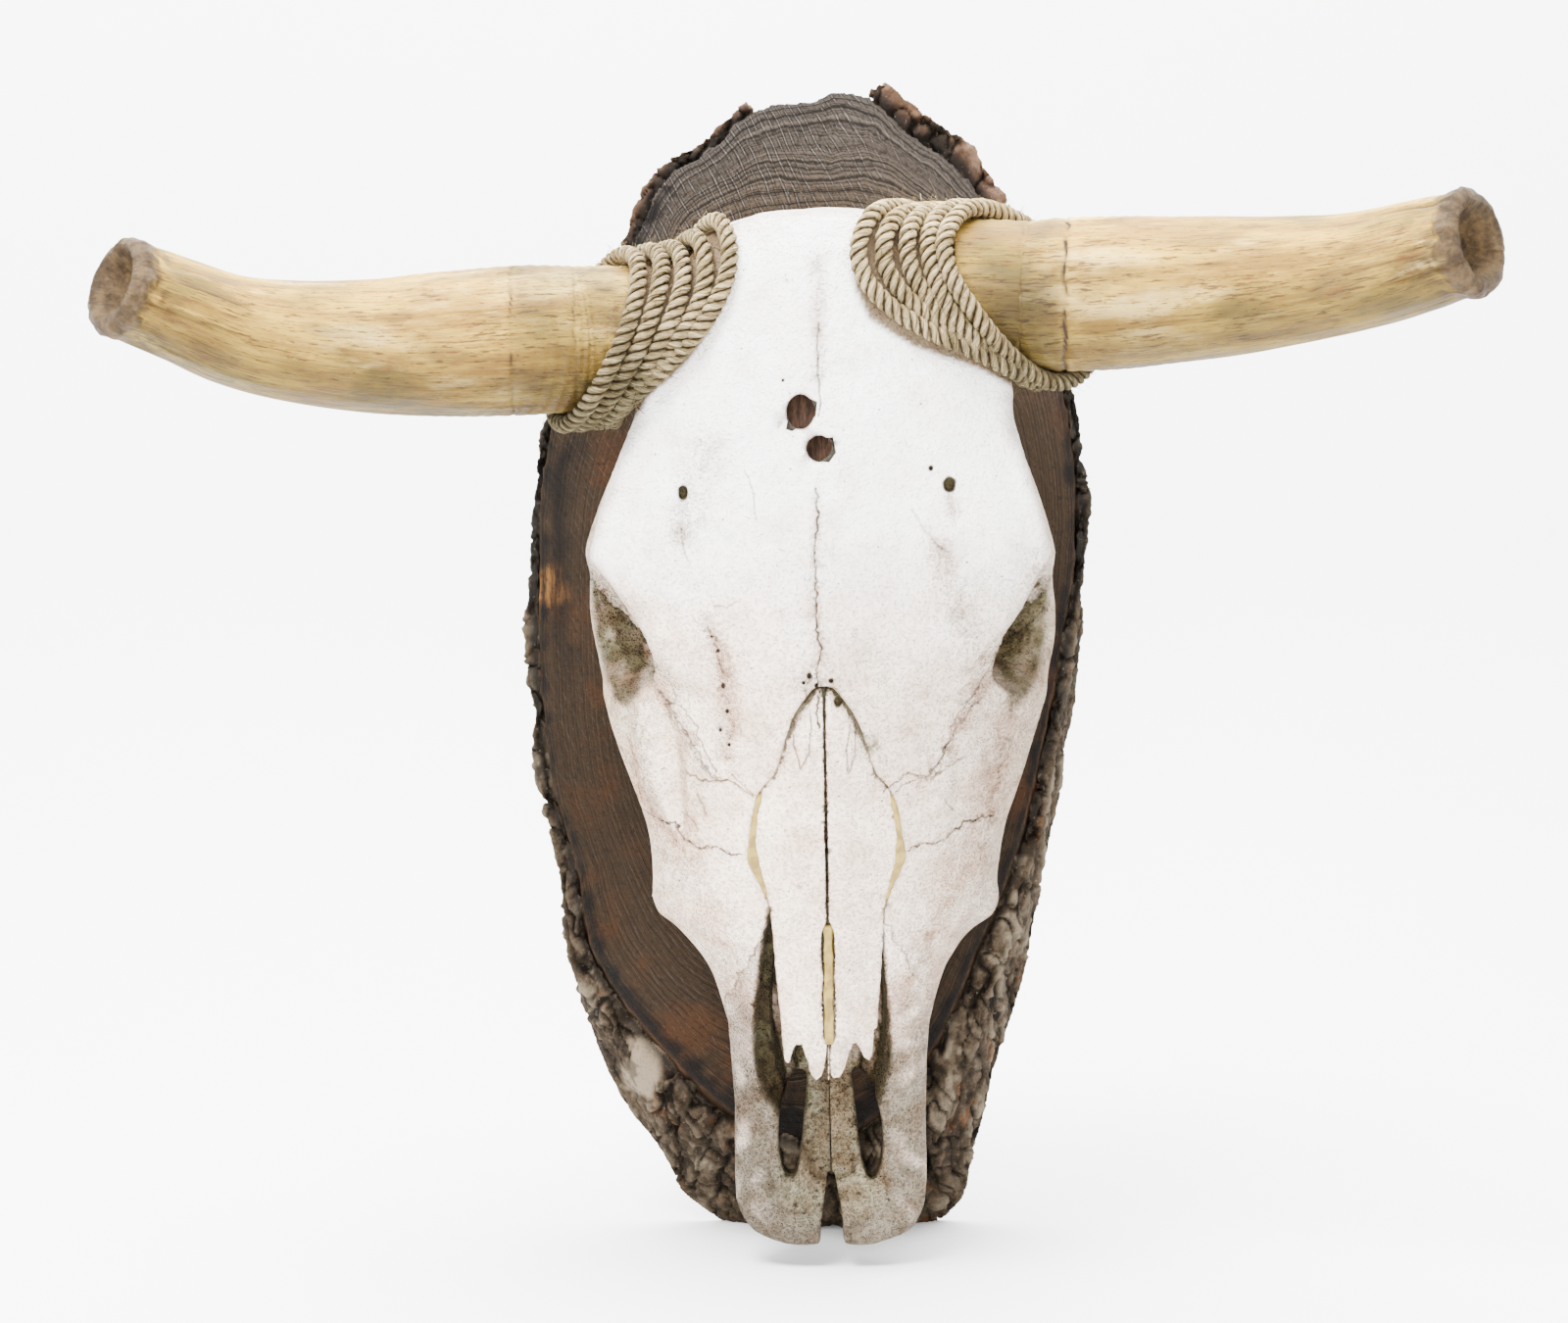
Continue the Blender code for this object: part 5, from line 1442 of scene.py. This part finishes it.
def rope_tree(material):
    """Three strands laid round a path, with loose fibres."""
    tree = bpy.data.node_groups.new("laid_rope", "GeometryNodeTree")
    tree.interface.new_socket("Path", in_out="INPUT", socket_type="NodeSocketGeometry")
    for name, value in (("Strand radius", STRAND_RADIUS), ("Strand offset", STRAND_OFFSET),
                        ("Lay length", ROPE_LAY), ("Spacing", ROPE_SPACING),
                        ("Fibres per square metre", FIBRE_DENSITY)):
        socket = tree.interface.new_socket(name, in_out="INPUT", socket_type="NodeSocketFloat")
        socket.default_value = value
    tree.interface.new_socket("Rope", in_out="OUTPUT", socket_type="NodeSocketGeometry")
    g = Nodes(tree)
    source = g.add("NodeGroupInput").outputs
    path = g.add("GeometryNodeMeshToCurve", {"Mesh": source["Path"]})
    path = g.add("GeometryNodeResampleCurve", {"Curve": path, "Length": source["Spacing"]}, mode="LENGTH")
    run = g.add("GeometryNodeSplineParameter").outputs["Length"]
    normal = g.add("GeometryNodeInputNormal")
    ahead = g.add("GeometryNodeInputTangent")
    across = g.add("ShaderNodeVectorMath", {0: ahead, 1: normal}, operation="CROSS_PRODUCT")
    ring = g.add("GeometryNodeCurvePrimitiveCircle", {"Resolution": 9, "Radius": source["Strand radius"]})
    around = stored(g, ring, "round", g.add("GeometryNodeInputPosition"))
    turns = g.add("ShaderNodeMath", {0: run, 1: source["Lay length"]}, operation="DIVIDE")
    bundle = g.add("GeometryNodeJoinGeometry")
    for strand in range(3):
        angle = g.add("ShaderNodeMath", {0: turns, 1: 2 * math.pi, 2: 2 * math.pi * strand / 3},
                      operation="MULTIPLY_ADD")
        parts = []
        for way, kind in ((normal, "COSINE"), (across, "SINE")):
            wave = g.add("ShaderNodeMath", {0: angle}, operation=kind)
            reach = g.add("ShaderNodeMath", {0: wave, 1: source["Strand offset"]}, operation="MULTIPLY")
            parts.append(g.add("ShaderNodeVectorMath", {0: way, "Scale": reach}, operation="SCALE"))
        offset = g.add("ShaderNodeVectorMath", {0: parts[0], 1: parts[1]})
        kept = stored(g, stored(g, path, "along", run, "FLOAT"), "inward", offset)
        moved = g.add("GeometryNodeSetPosition", {"Geometry": kept, "Offset": offset})
        tube = g.add("GeometryNodeCurveToMesh", {"Curve": moved, "Profile Curve": around, "Fill Caps": True})
        g.feed(bundle.inputs[0], tube)
    smooth_mesh = g.add("GeometryNodeSetShadeSmooth", {"Geometry": bundle})
    strewn = g.add("GeometryNodeDistributePointsOnFaces",
                   {"Mesh": smooth_mesh, "Density": source["Fibres per square metre"], "Seed": 4})
    hair = g.add("GeometryNodeMeshCone", {"Vertices": 3, "Side Segments": 1, "Radius Top": 0.00003,
                                          "Radius Bottom": 0.00008, "Depth": 0.0070}, fill_type="NGON")
    tilt = g.add("FunctionNodeRandomValue",
                 {"Min": tuple(-most for most in FIBRE_TILT), "Max": FIBRE_TILT, "Seed": 2},
                 data_type="FLOAT_VECTOR")
    spin = g.add("FunctionNodeEulerToRotation", {"Euler": tilt.outputs[0]})
    lean = g.add("FunctionNodeRotateRotation", {"Rotation": strewn.outputs["Rotation"], "Rotate By": spin},
                 rotation_space="LOCAL")
    size = g.add("FunctionNodeRandomValue", {2: 0.35, 3: 1.2}, data_type="FLOAT")
    fuzz = g.add("GeometryNodeInstanceOnPoints",
                 {"Points": strewn.outputs["Points"], "Instance": hair.outputs["Mesh"], "Rotation": lean,
                  "Scale": size.outputs[1]})
    whole = g.add("GeometryNodeJoinGeometry")
    g.feed(whole.inputs[0], smooth_mesh)
    g.feed(whole.inputs[0], fuzz)
    real = g.add("GeometryNodeRealizeInstances", {"Geometry": whole})
    done = g.add("GeometryNodeSetMaterial", {"Geometry": real, "Material": material})
    g.add("NodeGroupOutput", {"Rope": done})
    return tree


def make_rope(node, tree, paint):
    """A laid rope along a CAD rope's centre line, with loose fibres."""
    path = ROPE_PATHS[node]
    mesh = bpy.data.meshes.new(node)
    mesh.from_pydata(path.tolist(), [(k, k + 1) for k in range(len(path) - 1)], [])
    obj = link(node + "_laid", mesh)
    obj.modifiers.new("rope", "NODES").node_group = tree
    data = evaluated(obj).data
    along, ring, inward = (read(data.attributes[name].data, field, wide).astype(float) for name, field, wide
                           in (("along", "value", 1), ("round", "vector", 3), ("inward", "vector", 3)))
    strand = np.abs(along) > 0
    turn = np.arctan2(ring[:, 1], ring[:, 0]) - along * 2 * np.pi / FIBRE_LAY
    put(data, "fibre", np.column_stack([np.cos(turn) * STRAND_RADIUS, np.sin(turn) * STRAND_RADIUS, along]))
    # painted shade on strand faces turned in towards the other strands
    facing = (normals_of(data) * inward).sum(1) / STRAND_OFFSET
    put(data, "strand_gap_shade", smooth(0.82, 0.46, facing) * strand)
    points = points_of(data)
    # painted light on the upper part of the right lashing
    put(data, "upper_right_light", smooth(0.255, 0.315, points[:, 2]) * smooth(0.0, 0.02, points[:, 0]))
    push(data, MM * (0.30 * cloud(points, 0.006, 91) + 0.16 * cloud(points, 0.0022, 92)) * strand)
    for name in ("along", "round", "inward"):
        data.attributes.remove(data.attributes[name])
    dress(obj, node + "_laid", "rope", paint, node)


# ---- slab and bark ------------------------------------------------------------------------
SLAB_MIDDLE = (0.0, 350.0)         # mm, heart of the rings on the sawn face: x, z
SLAB_SLOPE = (8.0 / 50.0, -72.0 / 50.0)   # how far the log runs right and down per mm of depth
SLAB_CREASE = 0.88                 # edges sharper than this cosine stay straight on the slab and the bark
SLAB_VOXEL = 2.2                   # mm
BARK_VOXEL = 1.35                  # mm
SAWN_FACE = -0.0495                # in front of this lies the sawn face
FINE_TOP = 540.0                   # mm, above it the sawn face gets a finer mesh
FINE_HALF = 0.125                  # half the width of that part
BARK_BEND = 0.0045                 # how far its cracks wander
BARK_BACK = -0.0003                # the bark stays this far in front of the wall
FOOT_LIFT = 3.0                    # mm, the bark's foot and the floor lie this far above the slab's foot


def all_round(angle, reach):
    """A reach by direction, repeated a turn below and above so that it can be looked up at any angle."""
    return np.concatenate([angle - 2 * np.pi, angle, angle + 2 * np.pi]), np.tile(reach, 3)


def soft_reach(reach):
    """The log's outline by direction, eased for the rings well inside it."""
    angle = np.linspace(-np.pi, np.pi, 181)
    wide = [np.interp(angle + turn, *reach) for turn in np.linspace(-0.42, 0.42, 15)]
    return all_round(angle, np.mean(wide, axis=0))


def outline_reach():
    """How far the sawn face's edge lies from its heart, by direction."""
    points, _ = merged("slab_wood")
    front = points[points[:, 1] < SAWN_FACE] / MM
    x, z = front[:, 0] - SLAB_MIDDLE[0], front[:, 2] + FOOT - SLAB_MIDDLE[1]
    angle = np.arctan2(z, x)
    order = np.argsort(angle)
    return all_round(angle[order], np.hypot(x, z)[order])


def ring_share(points, reach):
    """0 at the log's heart, 1 at its edge, allowing for its slant through the slab."""
    depth = points[:, 1] / MM + SLAB_THICK
    x = points[:, 0] / MM - SLAB_MIDDLE[0] - SLAB_SLOPE[0] * depth
    z = heights(points) - SLAB_MIDDLE[1] - SLAB_SLOPE[1] * depth
    away, way = np.hypot(x, z), np.arctan2(z, x)
    outer = away / np.interp(way, *reach)
    inner = away / np.interp(way, *soft_reach(reach))
    return inner + (outer - inner) * smooth(0.80, 1.0, outer)


KERF_STEP = 4.1                    # mm between the marks that the saw left
KERF_WAY = (0.86, 0.50)            # the way across them: right, up


def kerf_lines(points):
    """Place across the slanting saw marks, counted in marks, and the same place turned to lie along them."""
    x, z = points[:, 0], points[:, 2]
    across = x * KERF_WAY[0] + z * KERF_WAY[1]
    phase = across / (KERF_STEP * MM) + 1.3 * cloud(points, 0.07, 71) + 0.30 * cloud(points, 0.012, 72)
    return phase, np.column_stack([across, points[:, 1], x * KERF_WAY[1] - z * KERF_WAY[0]])


# where the log's outline is moved: pixel, reach (px), and steps across and up (mm)
SHOULDERS = ((680, 190, 52, -7.0, 11.0), (765, 130, 40, -1.0, 9.0), (888, 110, 38, 2.0, 8.5),
             (975, 150, 52, 5.0, 9.0), (985, 1240, 48, 17.0, 0.0), (700, 1225, 34, -9.0, 0.0),
             (566, 885, 60, 7.0, 0.0))
RUST_SPOT = (563, 600, 20, 27)     # the rust-brown patch on the sawn face: pixel, half width and height (px)
BARE_SPOT = (655, 1085, 24, 42)    # the smooth patch on the bark's foot


def spot_reach(px, py, spot):
    """Distance from a patch's middle as a share of its size."""
    column, row, wide, tall = spot
    return np.hypot((px - column) / wide, (py - row) / tall)


def fuller(points):
    """Move the log's outline at its shoulders and corners to where the photograph has it."""
    px, py = seen_at(points)
    moved = points.copy()
    for column, row, reach, across, up in SHOULDERS:
        share = np.exp(-((px - column) ** 2 + (py - row) ** 2) / reach ** 2)
        moved += np.outer(share, (across, 0.0, up)) * MM
    return moved


def make_slab(reach):
    """The sawn log: growth rings, grooves left by the saw, and the ragged rim under the bark."""
    slab = remeshed(rounded("slab_wood", ["slab_wood"], crease=SLAB_CREASE), SLAB_VOXEL, 1)
    refined(slab, lambda p: (p[:, 1] < -0.047) & (heights(p) > FINE_TOP) & (np.abs(p[:, 0]) < FINE_HALF))
    data = slab.data
    points, normals = points_of(data), normals_of(data)
    z = heights(points)
    front = smooth(-0.6, -0.9, normals[:, 1]) * (points[:, 1] < -0.045)
    rim = 1 - np.abs(normals[:, 1])
    ring = ring_share(points, reach)
    phase, saw = kerf_lines(points)
    grey = smooth(455, 545, z + 30 * cloud(points, 0.05, 74))
    px, py = seen_at(points)
    sawn = front * (0.11 + 0.85 * grey) * (0.30 + 0.70 * smooth(900, 820, px + 60 * cloud(points, 0.03, 70)))
    kerf = np.cos(2 * np.pi * phase) * (0.6 + 0.6 * cloud(saw * (1, 1, 0.25), 0.005, 73))
    grooves = cloud(np.column_stack([ring * 0.35, points[:, 0] * 0.1, points[:, 2] * 0.1]), 0.006, 75)
    rise = front * (-0.35 * kerf * sawn + 0.45 * grooves + 0.35 * cloud(points, 0.03, 76))
    rise += rim * (1.9 * layers(along_log(points) * (1, 1, 0.3), 0.010, 3, 77)) * (z > 8)
    push(data, rise * MM)
    set_points(data, fuller(points_of(data)))
    patch = spot_reach(px, py, RUST_SPOT) + 0.5 * cloud(points, 0.012, 79)
    put(data, "ring", ring)
    band = np.exp(-((ring - 0.90 - 0.05 * cloud(points, 0.02, 69)) / 0.045) ** 2) * (px < 800)
    band *= smooth(430, 470, py) * smooth(760, 560, py)
    put(data, "grey", grey * 0.95)
    put(data, "kerf", phase)
    put(data, "saw", saw)
    put(data, "sawn", np.clip(sawn, 0, 1))
    put(data, "rust", 0.9 * smooth(1.0, 0.5, patch))
    edge = smooth(0.950, 0.985, ring + 0.03 * cloud(points, 0.009, 80)) * front * (z < 600)
    put(data, "cambium", np.clip(edge * 0.9 + 0.8 * band, 0, 1))
    dress(slab, "sawn_slab", "slab_wood", slab_paint(), "slab_wood")


def along_log(points):
    """Places turned so that the third axis runs along the log."""
    axis = np.array((SLAB_SLOPE[0], 1.0, SLAB_SLOPE[1]))
    axis /= np.linalg.norm(axis)
    side = np.cross(axis, (1.0, 0.0, 0.0))
    side /= np.linalg.norm(side)
    return points @ np.stack([np.cross(side, axis), side, axis], axis=1)


def terraced(height):
    """Flat steps with steep, short risers between them."""
    level = np.floor(height)
    return level + smooth(0.62, 0.98, height - level)


def make_bark(reach):
    """Strips of bark: plates in flat steps, ridges along the log, cracks, and one smooth bare patch."""
    paint = bark_paint()
    for name in BARKS:
        strip = remeshed(rounded(name, [name], crease=SLAB_CREASE), BARK_VOXEL, 2)
        data = strip.data
        points, normals = points_of(data), normals_of(data)
        turned = along_log(points)
        ring = ring_share(points, reach)
        bent = turned + BARK_BEND * np.stack([cloud(turned, 0.013, 81), cloud(turned, 0.013, 82),
                                              np.zeros(len(turned))], axis=1)
        height = 3.2 * cloud(bent * (1, 1, 0.24), 0.013, 83) + 0.9 * cloud(bent * (1, 1, 0.5), 0.005, 89)
        plates = terraced(height) / 2.4
        ridge = 1 - 3.0 * np.abs(cloud(bent * (1, 1, 0.20), 0.0075, 84))
        crack = smooth(0.085, 0.015, np.abs(cloud(bent * (1, 1, 0.22), 0.013, 85)))
        cross = 0.7 * smooth(0.06, 0.01, np.abs(cloud(bent * (1, 1, 0.7), 0.020, 87)))
        crack = np.maximum(crack, cross)
        scales = layers(points, 0.0050, 2, 88)
        z = heights(points)
        px, py = seen_at(points)
        flat = spot_reach(px, py, BARE_SPOT) + 0.5 * cloud(points, 0.014, 86)
        bare = smooth(1.05, 0.6, flat) * (z < 200)
        high = 2.3 * plates + 0.8 * ridge + 1.0 * scales
        rise = (high - 3.0 * crack) * (1 - 0.8 * bare)
        rise *= smooth(-0.001, -0.004, points[:, 1])
        moved = points + normals * (rise * MM)[:, None]
        moved[:, 2] = np.maximum(moved[:, 2], (FOOT_LIFT - FOOT) * MM)
        moved[:, 1] = np.minimum(moved[:, 1], BARK_BACK)
        set_points(data, moved)
        front = smooth(-0.5, -0.85, normals[:, 1])
        put(data, "deep", np.clip(crack * (1 - bare) + smooth(-0.2, -1.2, high) * 0.6, 0, 1))
        put(data, "high", smooth(0.2, 2.2, high) * (0.4 + 0.6 * smooth(330, 230, z)))
        put(data, "smooth", bare * 0.9)
        black = smooth(1.05, 1.0, ring) * front
        black += 0.55 * smooth(300, 380, z) * smooth(560, 520, z) * smooth(0.9, -0.3, high)
        put(data, "black", np.clip(black, 0, 0.95))
        put(data, "rusty", 0.85 * smooth(500, 545, z) * smooth(-1.6, -0.4, high))
        set_points(data, fuller(moved))
        dress(strip, name + "_rough", "bark", paint, name)


def block_paint():
    """Rough brown wood with pale scratches along it."""
    p = Paint("rough_block_wood", 0.6, 0.3)
    streak = p.streaks(0.0016, 5.0, 0.7, 0.15, turn=(0.0, math.radians(35), 0.0))
    p.tone = p.mix(p.span(streak, 0.35, 0.65), (0.060, 0.028, 0.015), (0.21, 0.105, 0.060))
    p.coat(streak, 0.64, 0.76, (0.80, 0.66, 0.56), 0.8)
    p.relief(streak, 0.0008, 0.8)
    return p.finished()


# ---- stage --------------------------------------------------------------------------------
SWEEP_HALF = 5.0                   # half width of the sweep
SWEEP_FRONT = -4.0                 # where it starts, and how high it ends
SWEEP_TOP = 4.0
SWEEP_BEND = 0.35                  # radius of its bend
SWEEP_STEPS = 12
SWEEP_START = 0.55                 # how far behind the wall's plane it starts to rise
# name, place, size, power in watts, and the place each lamp is turned to
LAMPS = (("key", (-0.75, -1.35, 2.25), 1.1, 300.0, (0, -0.1, 0.0)),
         ("front", (-0.15, -3.2, 0.5), 1.0, 150.0, (0, -0.1, 0.0)),
         ("wall", (0.0, 0.0, 2.2), 2.4, 400.0, (0, 0.75, -0.2)))


def stage():
    """Pale floor that sweeps up into the wall, soft lights, and the photograph's camera."""
    floor_z = (FOOT_LIFT - FOOT) * MM
    profile = [(SWEEP_FRONT, floor_z), (SWEEP_START, floor_z)]
    for k in range(1, SWEEP_STEPS + 1):
        angle = math.pi / 2 * k / SWEEP_STEPS
        back, up = SWEEP_BEND * math.sin(angle), SWEEP_BEND * (1 - math.cos(angle))
        profile.append((SWEEP_START + back, floor_z + up))
    profile.append((SWEEP_START + SWEEP_BEND, SWEEP_TOP))
    points = [(side, y, z) for y, z in profile for side in (-SWEEP_HALF, SWEEP_HALF)]
    faces = [(2 * k, 2 * k + 1, 2 * k + 3, 2 * k + 2) for k in range(len(profile) - 1)]
    sweep = object_of("paper_sweep", points, faces)
    sweep.data.shade_smooth()
    paper = Paint("white_paper", 0.9, 0.1)
    paper.tone = paper.mix(paper.noise(0.6, 2.0), (0.86, 0.865, 0.87), (0.90, 0.90, 0.90))
    sweep.data.materials.append(paper.finished())
    world = bpy.data.worlds.new("studio")
    world.use_nodes = True
    bpy.context.scene.world = world
    sky = world.node_tree.nodes["Background"]
    sky.inputs["Color"].default_value = (0.98, 0.99, 1.0, 1.0)
    sky.inputs["Strength"].default_value = 1.0
    for name, place, size, power, target in LAMPS:
        lamp = bpy.data.lights.new(name, "AREA")
        lamp.size = size
        lamp.energy = power
        obj = link(name, lamp)
        obj.location = place
        obj.rotation_euler = (Vector(target) - Vector(place)).to_track_quat("-Z", "Y").to_euler()
    data = bpy.data.cameras.new("camera")
    data.sensor_width = SENSOR
    data.lens = FOCAL_PX * SENSOR / (2 * MIDDLE_PX[0])
    camera = link("camera", data)
    camera.location = CAMERA_PLACE
    camera.rotation_euler = (math.radians(90) - CAMERA_DIP, 0.0, 0.0)
    bpy.context.scene.camera = camera


stage()
for rope_name in ("rope_left", "rope_right"):
    ROPE_PATHS[rope_name] = rope_path(rope_name)
make_skull()
make_glue()
horn_finish = horn_paint()
for horn_name in HORN_GROOVES:
    make_horn(horn_name, horn_finish)
rope_finish = rope_paint()
laid_rope = rope_tree(rope_finish)
for rope_name in ROPE_PATHS:
    make_rope(rope_name, laid_rope, rope_finish)
log_reach = outline_reach()
make_slab(log_reach)
make_bark(log_reach)
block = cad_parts["mount_block"]
block.data.materials.clear()
block.data.materials.append(block_paint())
